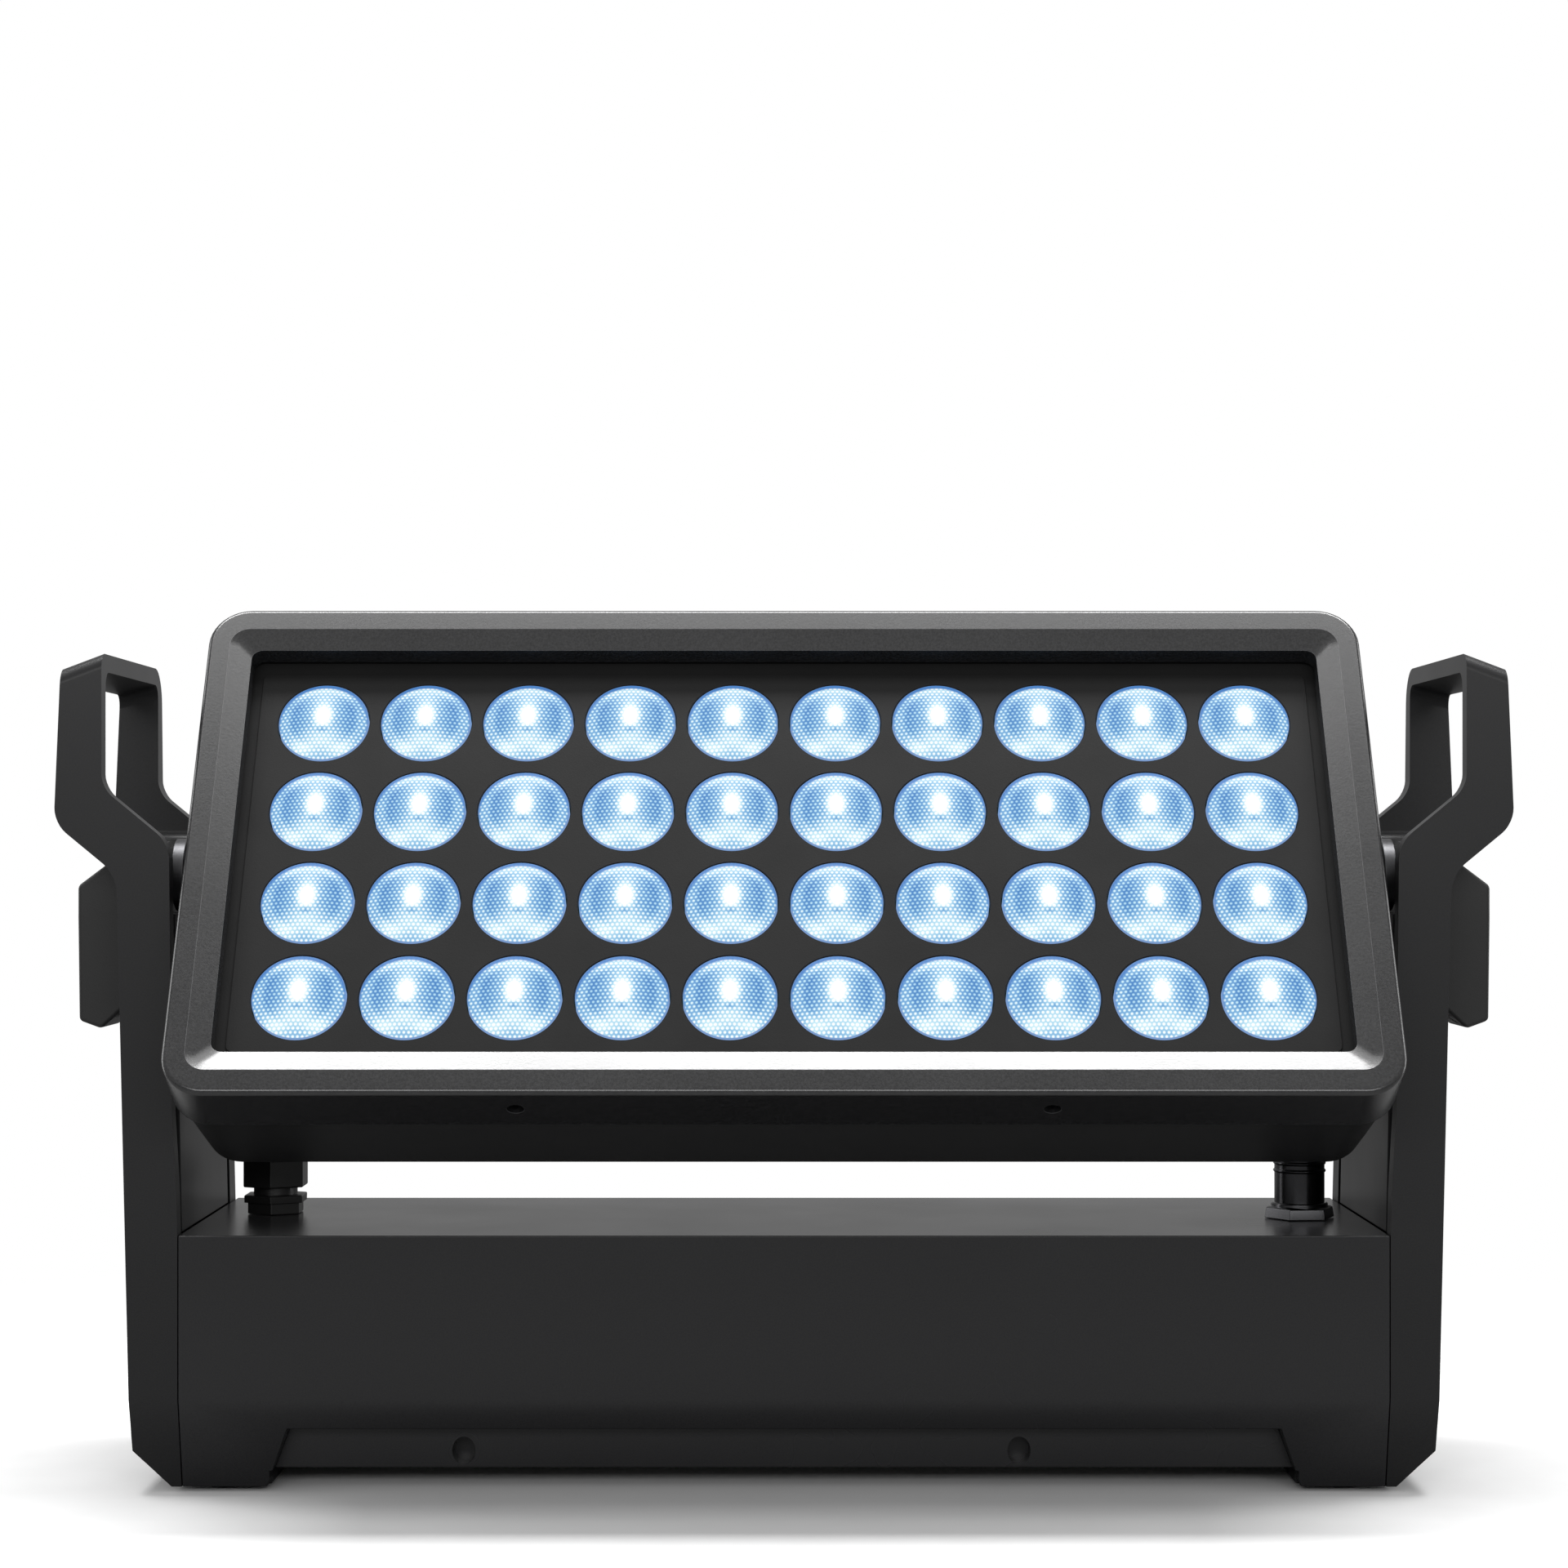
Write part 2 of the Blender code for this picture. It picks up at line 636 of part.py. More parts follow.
def heatsink(head):
    """Extruded comb: a base plate with upright fins that end just in front of the fans."""
    half_x = LENS_PITCH_X * LENS_COLUMNS / 2
    pitch = (2 * half_x - FIN_THICKNESS) / (FIN_COUNT - 1)
    root = SINK_Y + SINK_BASE
    outline = [(-half_x, SINK_Y), (half_x, SINK_Y)]
    for index in range(FIN_COUNT):
        right = half_x - index * pitch
        left = right - FIN_THICKNESS
        if index > 0:
            outline.append((right, root))
        outline.append((right, FIN_TIP_Y))
        outline.append((left, FIN_TIP_Y))
        if index < FIN_COUNT - 1:
            outline.append((left, root))
    half_z = HOUSING_REAR_HALF_Z - HOUSING_WALL - FIN_END_GAP
    add_piece("heatsink", prism(outline, "Z", GRID_Z - half_z, GRID_Z + half_z), bare_aluminium(), head)


def rear_housing(head):
    """Cast tub that narrows in height towards the back, with a wide opening for the fans."""
    wall = HOUSING_WALL
    front_corner = BEZEL_CORNER - HOUSING_STEP
    rear_x = HOUSING_HALF_X
    rear_z = HOUSING_REAR_HALF_Z
    rear_corner = HOUSING_REAR_CORNER
    round_y = HOUSING_BACK_Y - HOUSING_REAR_ROUND
    trim = HOUSING_REAR_ROUND
    opening_x = HOUSING_HALF_X - REAR_COVER_EDGE
    opening_z = rear_z - REAR_COVER_EDGE
    opening_corner = rear_corner - wall
    loops = [
        head_loop(HOUSING_HALF_X, HOUSING_HALF_Z, front_corner, HOUSING_FRONT_Y),
        head_loop(rear_x, rear_z, rear_corner, round_y),
        head_loop(rear_x - trim, rear_z - trim, rear_corner - trim, HOUSING_BACK_Y),
        head_loop(opening_x, opening_z, opening_corner, HOUSING_BACK_Y),
        head_loop(opening_x, opening_z, opening_corner, HOUSING_BACK_Y - wall),
        head_loop(rear_x - wall, rear_z - wall, rear_corner - wall, HOUSING_BACK_Y - wall),
        head_loop(HOUSING_HALF_X - wall, HOUSING_HALF_Z - wall, front_corner - wall, HOUSING_FRONT_Y),
    ]
    add_piece("rear_housing", loft(loops, ring=True), black_paint(), head)


def rear_cover(head):
    """Vented cover over the housing's opening, with slots that follow each fan's circle."""
    edge = REAR_COVER_EDGE - REAR_COVER_LAP
    half_x = HOUSING_HALF_X - edge
    half_z = HOUSING_REAR_HALF_Z - edge
    outline = rounded_rectangle(half_x, half_z, REAR_COVER_CORNER, centre=(0.0, GRID_Z))
    low = HOUSING_BACK_Y + FIT
    high = low + REAR_COVER_THICKNESS
    cover = add_piece("rear_cover", prism(outline, "Y", low, high), black_paint(), head)
    slots = bmesh.new()
    radius = FAN_BORE / 2
    for fan in range(FAN_COUNT):
        centre = FAN_PITCH * (fan - (FAN_COUNT - 1) / 2)
        reach = int(radius // VENT_PITCH)
        for index in range(-reach, reach + 1):
            x = index * VENT_PITCH
            half = math.sqrt(radius ** 2 - x ** 2) - VENT_SLOT / 2
            size = (VENT_SLOT, REAR_COVER_THICKNESS * 3, 2 * half)
            add_block(slots, size, (centre + x, (low + high) / 2, GRID_Z))
    combine(cover, add_tool("vent_slots", slots, head))


def fan_blade(form, turn):
    """One twisted blade from the hub out to its tip, added to a bmesh about Z."""
    sections = ((FAN_HUB / 2 - 1.5 * MM, 46, 8 * MM), (FAN_BORE / 2 - FAN_TIP_GAP, 30, 11 * MM))
    rows = []
    for radius, pitch_angle, half_chord in sections:
        tilt = math.radians(pitch_angle)
        along = Vector((math.cos(turn), math.sin(turn), 0.0))
        across = Vector((-math.sin(turn), math.cos(turn), 0.0))
        chord = across * math.cos(tilt) + Vector((0, 0, 1)) * math.sin(tilt)
        normal = along.cross(chord)
        middle = along * radius
        half = FAN_BLADE_THICKNESS / 2
        corners = ((-half_chord, -half), (half_chord, -half), (half_chord, half), (-half_chord, half))
        rows.append([form.verts.new(middle + chord * a + normal * b) for a, b in corners])
    form.faces.new(rows[0])
    form.faces.new(rows[-1])
    for one, two in zip(rows, rows[1:]):
        for index in range(4):
            after = (index + 1) % 4
            form.faces.new((one[index], one[after], two[after], two[index]))


def fan_frame(head, x, name):
    """Square frame with a round bore and a motor mount on two crossed struts."""
    half = FAN_SIZE / 2
    back = FAN_Y + FAN_DEPTH
    outline = rounded_rectangle(half, half, FAN_CORNER, steps=2, centre=(x, GRID_Z))
    frame = add_piece("fan_frame_" + name, prism(outline, "Y", FAN_Y, back), black_plastic(), head)
    bore = cylinder(FAN_BORE / 2, -FAN_DEPTH, FAN_DEPTH, "fan_bore_" + name, 22, head)
    place(bore, (x, (FAN_Y + back) / 2, GRID_Z), "Y")
    combine(frame, bore)
    spider = bmesh.new()
    strut_y = back - FAN_STRUT_DEPTH / 2
    length = FAN_BORE + 2 * MM
    add_block(spider, (FAN_STRUT, FAN_STRUT_DEPTH, length), (x, strut_y, GRID_Z))
    add_block(spider, (length, FAN_STRUT_DEPTH, FAN_STRUT), (x, strut_y, GRID_Z))
    struts = add_tool("fan_struts_" + name, spider, head)
    combine(frame, struts, "UNION").use_self = True
    reach = FAN_STRUT_DEPTH / 2
    motor = cylinder(FAN_HUB / 2, -reach, reach, "fan_motor_" + name, 14, head)
    place(motor, (x, strut_y, GRID_Z), "Y")
    combine(frame, motor, "UNION")


def fan_rotor(head, x, name):
    """Bladed rotor that spins in the frame about its own Z, which points to the back."""
    depth = FAN_DEPTH - FAN_STRUT_DEPTH - 2 * FIT
    reach = depth / 2
    radius = FAN_HUB / 2
    profile = [(0, reach), (radius - 1 * MM, reach), (radius, reach - 1 * MM), (radius, -reach), (0, -reach)]
    rotor = turned("fan_rotor_" + name, profile, black_plastic(), steps=16, parent=head)
    place(rotor, (x, FAN_Y + FIT + reach, GRID_Z), "Y")
    blades = bmesh.new()
    for blade in range(FAN_BLADES):
        fan_blade(blades, 2 * math.pi * blade / FAN_BLADES)
    tool = add_tool("fan_blades_" + name, blades, head)
    tool.location = rotor.location
    tool.rotation_euler = rotor.rotation_euler
    combine(rotor, tool, "UNION")


def fans(head):
    for index in range(FAN_COUNT):
        x = FAN_PITCH * (index - (FAN_COUNT - 1) / 2)
        fan_frame(head, x, str(index + 1))
        fan_rotor(head, x, str(index + 1))


def vent_plug(head):
    """Pressure vent on the rear cover, beside the fans."""
    x = HOUSING_HALF_X - REAR_COVER_EDGE - VENT_PLUG_INSET
    radius = VENT_PLUG_RADIUS
    top = VENT_PLUG_HEIGHT
    profile = [(0, top), (radius - 1 * MM, top), (radius, top - 1 * MM), (radius, 0), (0, 0)]
    plug = turned("vent_plug", profile, black_plastic(), steps=16, parent=head)
    place(plug, (x, HOUSING_BACK_Y + FIT + REAR_COVER_THICKNESS + FIT, GRID_Z), "Y")


def hub(side, name, head):
    """Turned hub fixed to the head's side; its rim runs in the arm's pocket."""
    start = HOUSING_HALF_X + FIT
    bore = BOLT_RADIUS + SHAFT_CLEARANCE
    bore_floor = HUB_REACH - HUB_BORE_DEPTH
    edge = HUB_EDGE
    profile = [
        (bore, HUB_REACH), (HUB_RADIUS - edge, HUB_REACH), (HUB_RADIUS, HUB_REACH - edge),
        (HUB_RADIUS, HUB_REACH - HUB_RIM), (HUB_NECK_RADIUS, HUB_REACH - HUB_RIM),
        (HUB_NECK_RADIUS, HUB_FLANGE), (HUB_FLANGE_RADIUS, HUB_FLANGE), (HUB_FLANGE_RADIUS, 0), (0, 0),
        (0, bore_floor), (bore, bore_floor),
    ]
    piece = turned("hub_" + name, profile, bare_aluminium(), steps=18, closed=True, parent=head)
    place(piece, (side * start, 0, 0), outward(side))


def hub_end_x():
    return HOUSING_HALF_X + FIT + HUB_REACH


def washer(side, name):
    start = hub_end_x() + FIT
    bore = BOLT_RADIUS + SHAFT_CLEARANCE
    profile = [(WASHER_RADIUS, WASHER_THICKNESS), (WASHER_RADIUS, 0), (bore, 0), (bore, WASHER_THICKNESS)]
    piece = turned("friction_washer_" + name, profile, black_rubber(), steps=16, closed=True)
    place(piece, (side * start, 0, PIVOT_Z), outward(side))


def arm_outer_x(z):
    """Outer face of the arm below its bend."""
    return ARM_X + ARM_FOOT_THICKNESS + ARM_LEAN * min(z / PIVOT_Z, 1.0)


def arm_front_outline(side):
    """The arm as seen from the front: leaning post, outward bend and hand grip."""
    low = FOOT_CLEARANCE
    post_x = ARM_X + ARM_INNER_LEAN
    shoulder_x = arm_outer_x(PIVOT_Z)
    grip_x = shoulder_x + ARM_FLARE
    grip_inner_x = grip_x - GRIP_THICKNESS
    bend_low = PIVOT_Z + ARM_BEND_OUTER
    throat = PIVOT_Z + ARM_BEND_INNER
    top = PIVOT_Z + GRIP_TOP
    corners = [
        (ARM_X, low, 0),
        (ARM_X, BASE_TOP, 0),
        (post_x - 0.9 * MM, BASE_TOP + PIVOT_RISE * 0.38, 0),
        (post_x, throat, ARM_THROAT_RADIUS),
        (grip_inner_x, throat + ARM_BEND_RISE * (grip_inner_x - post_x) / ARM_FLARE, ARM_THROAT_RADIUS),
        (grip_inner_x, top, 0),
        (grip_x - 4 * MM, top - GRIP_TOP_SLANT, 0),
        (grip_x - 2.6 * MM, top - GRIP_TOP_SLANT - 2.6 * MM, 0),
        (grip_x, bend_low + ARM_BEND_RISE, ARM_SHOULDER_RADIUS),
        (shoulder_x, bend_low, ARM_SHOULDER_RADIUS),
        (ARM_X + ARM_FOOT_THICKNESS, low + ARM_CHAMFER, 0),
        (ARM_X + 4 * MM, low, 0),
    ]
    return [(side * a, b) for a, b in rounded_outline(corners, steps=3)]


def arm_side_outline():
    """The arm as seen from the side: upright front, sloping back and rounded grip ends."""
    front = -BASE_FRONT
    back = ARM_BACK
    grip_back = front + GRIP_DEPTH
    top = PIVOT_Z + GRIP_TOP + 1 * MM
    low = FOOT_CLEARANCE - 1 * MM
    corners = [
        (front + TOE_SETBACK, low, 0),
        (front, TOE_HEIGHT, 0),
        (front, top, GRIP_FRONT_ROUND),
        (grip_back, top, GRIP_REAR_ROUND),
        (back, ARM_TAPER_FROM, 0),
        (back, TOE_HEIGHT, 0),
        (back - TOE_SETBACK, low, 0),
    ]
    return rounded_outline(corners, steps=3)


def arm(side, name):
    """Cast arm: a front outline crossed with a side outline, then hollowed from the inside."""
    form = prism(arm_front_outline(side), "Y", -BASE_FRONT - 1 * MM, ARM_BACK + 1 * MM)
    shell = add_piece("arm_" + name, form, black_paint())
    near = side * (ARM_X - 10 * MM)
    far = side * (arm_outer_x(PIVOT_Z) + ARM_FLARE + 10 * MM)
    profile = add_tool("arm_side_" + name, prism(arm_side_outline(), "X", near, far))
    combine(shell, profile, "INTERSECT")
    window_low = PIVOT_Z + WINDOW_ABOVE_PIVOT
    pocket_back = ARM_BACK - ARM_WALL - (ARM_DEPTH - GRIP_DEPTH) / 2
    skin_x = arm_outer_x(PIVOT_Z) - ARM_SKIN
    pocket = block((near, -BASE_FRONT + ARM_WALL, POCKET_FLOOR),
                   (side * skin_x, pocket_back, window_low + 5 * MM))
    combine(shell, add_tool("arm_pocket_" + name, pocket))
    grip_x = arm_outer_x(PIVOT_Z) + ARM_FLARE
    slant = GRIP_TOP_SLANT / (GRIP_THICKNESS - 4 * MM)
    inner_top = PIVOT_Z + GRIP_TOP - GRIP_BAR
    window = [
        (-BASE_FRONT + ARM_WALL, window_low, 3 * MM),
        (-BASE_FRONT + GRIP_DEPTH - ARM_WALL, window_low, 3 * MM),
        (-BASE_FRONT + GRIP_DEPTH - ARM_WALL, inner_top, 9 * MM),
        (-BASE_FRONT + ARM_WALL, inner_top, 3 * MM),
    ]
    form = prism(rounded_outline(window, steps=3), "X", near, far)
    for vert in form.verts:
        if vert.co.z > window_low + 10 * MM:
            vert.co.z -= slant * (abs(vert.co.x) - (grip_x - GRIP_THICKNESS))
    combine(shell, add_tool("arm_window_" + name, form))
    boss_x = hub_end_x() + FIT + WASHER_THICKNESS + FIT
    boss = cylinder(HUB_RADIUS - 1 * MM, 0, skin_x + 2 * MM - boss_x, "arm_boss_" + name, 18)
    place(boss, (side * boss_x, 0, PIVOT_Z), outward(side))
    combine(shell, boss, "UNION")
    hole = cylinder(BOLT_RADIUS + SHAFT_CLEARANCE, -20 * MM, 40 * MM, "bolt_hole_" + name, 16)
    place(hole, (side * boss_x, 0, PIVOT_Z), outward(side))
    combine(shell, hole)


def arm_cover(side, name):
    """Tray-shaped cover that closes the arm's pocket between the base and the hub."""
    low = BASE_TOP + FIT
    high = PIVOT_Z - COVER_TOP_BELOW_PIVOT
    front = -BASE_FRONT + ARM_WALL + COVER_GROOVE
    back = ARM_BACK - ARM_WALL - (ARM_DEPTH - GRIP_DEPTH) / 2 - COVER_GROOVE
    skin_x = arm_outer_x(PIVOT_Z) - ARM_SKIN - FIT
    face_low = ARM_X + FIT
    face_high = ARM_X + ARM_INNER_LEAN - FIT
    section = [(face_low, low), (face_high, high), (skin_x, high), (skin_x, low)]
    outline = [(side * a, b) for a, b in section]
    cover = add_piece("arm_cover_" + name, prism(outline, "Y", front, back), black_paint())
    wall = COVER_THICKNESS
    hollow = block((side * (face_high + wall), front + wall, low + wall),
                   (side * (skin_x + 5 * MM), back - wall, high - wall))
    combine(cover, add_tool("cover_hollow_" + name, hollow))


def pivot_bolt(side, name):
    """Bolt from the hub out through the arm, with an eye for the lever's pin."""
    start = hub_end_x() - 8 * MM
    pin_x = arm_outer_x(PIVOT_Z) + LEVER_PIN_OUT
    length = pin_x - start - 1 * MM
    tip = BOLT_RADIUS - 0.6 * MM
    profile = [(0, length), (BOLT_RADIUS, length), (BOLT_RADIUS, 0.6 * MM), (tip, 0), (0, 0)]
    bolt = turned("pivot_bolt_" + name, profile, zinc_steel(), steps=16)
    place(bolt, (side * start, 0, PIVOT_Z), outward(side))
    half = BOLT_EYE_WIDTH / 2
    flat_start = side * (pin_x - BOLT_FLAT_START)
    flat_end = side * (pin_x + 9 * MM)
    for letter, near in (("a", half), ("b", -half)):
        far = near + math.copysign(10 * MM, near)
        flat = block((flat_start, near, PIVOT_Z - 12 * MM), (flat_end, far, PIVOT_Z + 12 * MM))
        combine(bolt, add_tool("eye_flat_%s_%s" % (letter, name), flat))
    eye = cylinder(BOLT_EYE_RADIUS, -half, half, "bolt_eye_" + name, 16)
    place(eye, (side * pin_x, 0, PIVOT_Z), "Y")
    combine(bolt, eye, "UNION")
    hole = cylinder(LEVER_PIN_RADIUS + SHAFT_CLEARANCE, -9 * MM, 9 * MM, "eye_hole_" + name, 12)
    place(hole, (side * pin_x, 0, PIVOT_Z), "Y")
    combine(bolt, hole)


def lever_pin(side, name):
    pin_x = arm_outer_x(PIVOT_Z) + LEVER_PIN_OUT
    half = LEVER_WIDTH / 2 - 1 * MM
    radius = LEVER_PIN_RADIUS
    profile = [(0, half), (radius, half), (radius, -half), (0, -half)]
    pin = turned("lever_pin_" + name, profile, zinc_steel(), steps=12)
    place(pin, (side * pin_x, 0, PIVOT_Z), "Y")


def lever(side, name):
    """Lever that lies along the arm and flips out about its pin; its foot leaves room for fingers."""
    pin_x = arm_outer_x(PIVOT_Z) + LEVER_PIN_OUT
    near = LEVER_GAP - LEVER_PIN_OUT
    far = near + LEVER_THICKNESS
    relief = near + LEVER_RELIEF
    foot = -LEVER_DROP
    corners = [
        (near, -17.5 * MM, 2 * MM), (near, -3.5 * MM, 0),
        (-3.6 * MM, 3.0 * MM, 0), (0.3 * MM, 5.2 * MM, 1 * MM),
        (far, -4.3 * MM, 2 * MM), (far - 1 * MM, foot + 3 * MM, 3 * MM),
        (far - 9 * MM, foot, 3 * MM), (relief + 1.5 * MM, foot + 4 * MM, 2 * MM),
        (relief, foot + 10 * MM, 2 * MM), (relief, -25 * MM, 2 * MM),
    ]
    outline = [(side * a, b) for a, b in rounded_outline(corners, steps=2)]
    half = LEVER_WIDTH / 2
    piece = add_piece("lever_" + name, prism(outline, "Y", -half, half), black_plastic())
    piece.location = (side * pin_x, 0, PIVOT_Z)
    top = 10 * MM
    low = foot - 0.5 * MM
    narrow = half * 0.82
    sides = [(-half, top, 6 * MM), (half, top, 6 * MM), (narrow, low, 8 * MM), (-narrow, low, 8 * MM)]
    form = prism(rounded_outline(sides, steps=3), "X", side * -20 * MM, side * 40 * MM)
    trim = add_tool("lever_side_" + name, form)
    trim.location = piece.location
    combine(piece, trim, "INTERSECT")
    slot_half = BOLT_EYE_WIDTH / 2 + SHAFT_CLEARANCE
    slot_far = side * (BOLT_EYE_RADIUS + 1 * MM)
    slot_near = side * -BOLT_EYE_RADIUS * 3
    slot = block((slot_near, -slot_half, -8.5 * MM), (slot_far, slot_half, 12 * MM))
    slot_tool = add_tool("lever_slot_" + name, slot)
    slot_tool.location = piece.location
    combine(piece, slot_tool)
    hole = cylinder(LEVER_PIN_RADIUS + SHAFT_CLEARANCE, -half * 2, half * 2, "lever_hole_" + name, 12)
    place(hole, piece.location, "Y")
    combine(piece, hole)


def base_outline():
    """The base as seen from the side: bevelled top edges and toes that slope back."""
    front = -BASE_FRONT
    edge = BASE_EDGE
    return [
        (front + TOE_SETBACK, FOOT_CLEARANCE), (front, TOE_HEIGHT),
        (front, BASE_TOP - edge), (front + edge, BASE_TOP),
        (BASE_BACK - edge, BASE_TOP), (BASE_BACK, BASE_TOP - edge),
        (BASE_BACK, TOE_HEIGHT), (BASE_BACK - TOE_SETBACK, FOOT_CLEARANCE),
    ]


def recess_cut(low_y, high_y, name, top):
    """Trapezoid cut between the foot blocks, as wide at its top as the recess."""
    low = FOOT_CLEARANCE - 1 * MM
    spread = RECESS_SLANT * (RECESS_HEIGHT - low) / RECESS_HEIGHT
    half = RECESS_TOP_HALF + spread * (RECESS_HEIGHT - top) / (RECESS_HEIGHT - low)
    outline = [(-half, top), (half, top), (RECESS_TOP_HALF + spread, low), (-RECESS_TOP_HALF - spread, low)]
    return add_tool(name, prism(outline, "Y", low_y, high_y))


def base_housing():
    """Cast box with foot blocks at both ends, a set-back lower middle and an opening at the back."""
    body = add_piece("base_housing", prism(base_outline(), "X", -BASE_HALF_X, BASE_HALF_X), black_paint())
    front = -BASE_FRONT
    wall = BASE_WALL
    recess_y = front + RECESS_DEPTH
    rear_recess_y = BASE_BACK - RECESS_DEPTH
    combine(body, recess_cut(front - 5 * MM, recess_y, "front_recess", RECESS_HEIGHT))
    combine(body, recess_cut(rear_recess_y, BASE_BACK + 5 * MM, "rear_recess", RECESS_HEIGHT))
    combine(body, recess_cut(front - 6 * MM, BASE_BACK + 6 * MM, "underside_cut", UNDERSIDE))
    floor = UNDERSIDE + wall
    ledge = TOE_HEIGHT + wall
    ceiling = BASE_TOP - wall
    inner = [
        (recess_y + wall, floor), (recess_y + wall, ledge), (front + wall, ledge), (front + wall, ceiling),
        (BASE_BACK - wall, ceiling), (BASE_BACK - wall, ledge),
        (rear_recess_y - wall, ledge), (rear_recess_y - wall, floor),
    ]
    half = BASE_HALF_X - BASE_END_WALL
    combine(body, add_tool("base_cavity", prism(inner, "X", -half, half)))
    margin = REAR_OPENING_MARGIN
    opening = block((-half + margin, BASE_BACK - wall * 2, TOE_HEIGHT + margin),
                    (half - margin, BASE_BACK + wall, BASE_TOP - margin))
    combine(body, add_tool("rear_opening", opening))
    holes = bmesh.new()
    for x in (-RECESS_HOLE_LEFT, RECESS_HOLE_RIGHT):
        middle = Vector((x, recess_y + wall / 2, RECESS_HOLE_HEIGHT))
        made = add_cylinder(holes, RECESS_HOLE_RADIUS, wall * 4, middle, across=True)
        bmesh.ops.scale(holes, vec=(1.0, 1.0, 1.15), space=Matrix.Translation(-middle), verts=made)
    combine(body, add_tool("recess_holes", holes))
    seats = bmesh.new()
    for x, y in foot_places():
        add_cylinder(seats, RUBBER_FOOT_RADIUS + FIT, RUBBER_FOOT_SEAT * 2, (x, y, FOOT_CLEARANCE), steps=14)
    combine(body, add_tool("foot_seats", seats))


def foot_places():
    x = BASE_HALF_X - FOOT_INSET_X
    front = -BASE_FRONT + TOE_SETBACK + FOOT_INSET_Y
    back = BASE_BACK - TOE_SETBACK - FOOT_INSET_Y
    return [(-x, front), (x, front), (-x, back), (x, back)]


def rubber_feet():
    height = FOOT_CLEARANCE + RUBBER_FOOT_SEAT - FIT
    radius = RUBBER_FOOT_RADIUS
    names = ("front_left", "front_right", "rear_left", "rear_right")
    for name, (x, y) in zip(names, foot_places()):
        profile = [(0, height), (radius, height), (radius, 1 * MM), (radius - 1 * MM, 0), (0, 0)]
        foot = turned("rubber_foot_" + name, profile, black_rubber(), steps=14)
        place(foot, (x, y, 0))


def gland_left():
    """Gland with a wide dome nut, a neck and a hexagonal flange."""
    base = BASE_TOP + FIT
    height = GLAND_HEIGHT
    radius = GLAND_HEX / 2
    profile = [
        (0, height), (radius * 0.55, height),
        (radius * 0.8, height - 1.5 * MM), (radius, height - 5 * MM),
        (radius, height * 0.52), (radius * 0.66, height * 0.5), (radius * 0.66, height * 0.2),
        (radius * 0.8, height * 0.2), (radius * 0.8, 0), (0, 0),
    ]
    gland = turned("cable_gland_left", profile, black_plastic(), steps=16)
    place(gland, (-GLAND_X, GLAND_LEFT_Y, base))
    flange = add_tool("gland_hex_left", hexagon(GLAND_HEX, height * 0.2, height * 0.36))
    flange.location = gland.location
    combine(gland, flange, "UNION")


def gland_right():
    """Gland with a long barrel, two rings near its top and a hexagonal nut on the base."""
    base = BASE_TOP + FIT
    height = GLAND_HEIGHT
    radius = GLAND_HEX * 0.37
    ring = radius + 0.6 * MM
    profile = [(0, height), (radius - 2 * MM, height), (radius, height - 2 * MM)]
    for level in (0.8, 0.68):
        top = height * level
        profile += [(radius, top), (ring, top - 0.8 * MM), (radius, top - 1.6 * MM)]
    profile += [(radius, 0), (0, 0)]
    gland = turned("cable_gland_right", profile, zinc_steel(), steps=16)
    place(gland, (GLAND_X, GLAND_RIGHT_Y, base))
    nut = add_tool("gland_hex_right", hexagon(GLAND_HEX, 0, height * 0.26))
    nut.location = gland.location
    nut.rotation_euler = (0, 0, math.radians(12))
    combine(gland, nut, "UNION")


def connector_places():
    return [(CONNECTOR_FIRST_X + CONNECTOR_PITCH * index, PANEL_MID_Z) for index in range(4)]


def button_places():
    start = BUTTONS_X - BUTTON_PITCH * (BUTTON_COUNT - 1) / 2
    return [(start + BUTTON_PITCH * index, PANEL_MID_Z) for index in range(BUTTON_COUNT)]


def rear_panel():
    """Plate on the base's back, pierced for the menu buttons."""
    half_x = BASE_HALF_X - REAR_PANEL_MARGIN
    half_z = (BASE_TOP - BASE_EDGE - TOE_HEIGHT) / 2 - REAR_PANEL_MARGIN / 2
    outline = rounded_rectangle(half_x, half_z, REAR_PANEL_CORNER, steps=3, centre=(0.0, PANEL_MID_Z))
    panel = add_piece("rear_panel", prism(outline, "Y", REAR_FACE_Y, PANEL_FACE_Y), black_paint())
    combine(panel, button_holes("panel_button_holes"))


def button_holes(name):
    holes = bmesh.new()
    for x, z in button_places():
        add_cylinder(holes, BUTTON_RADIUS + SHAFT_CLEARANCE, 30 * MM, (x, PANEL_FACE_Y, z), across=True)
    return add_tool(name, holes)


def control_plate():
    """Moulded frame round the display and the buttons."""
    centre = (CONTROL_X, PANEL_MID_Z)
    outline = rounded_rectangle(CONTROL_WIDTH / 2, CONTROL_HEIGHT / 2, 5 * MM, steps=3, centre=centre)
    low = PANEL_FACE_Y + FIT
    plate = add_piece("control_plate", prism(outline, "Y", low, low + CONTROL_THICKNESS), black_plastic())
    combine(plate, button_holes("plate_button_holes"))
    half_x = DISPLAY_WIDTH / 2
    half_z = DISPLAY_HEIGHT / 2
    pocket = block((DISPLAY_X - half_x, low + DISPLAY_POCKET_FLOOR, PANEL_MID_Z - half_z),
                   (DISPLAY_X + half_x, low + CONTROL_THICKNESS * 2, PANEL_MID_Z + half_z))
    combine(plate, add_tool("display_pocket", pocket))


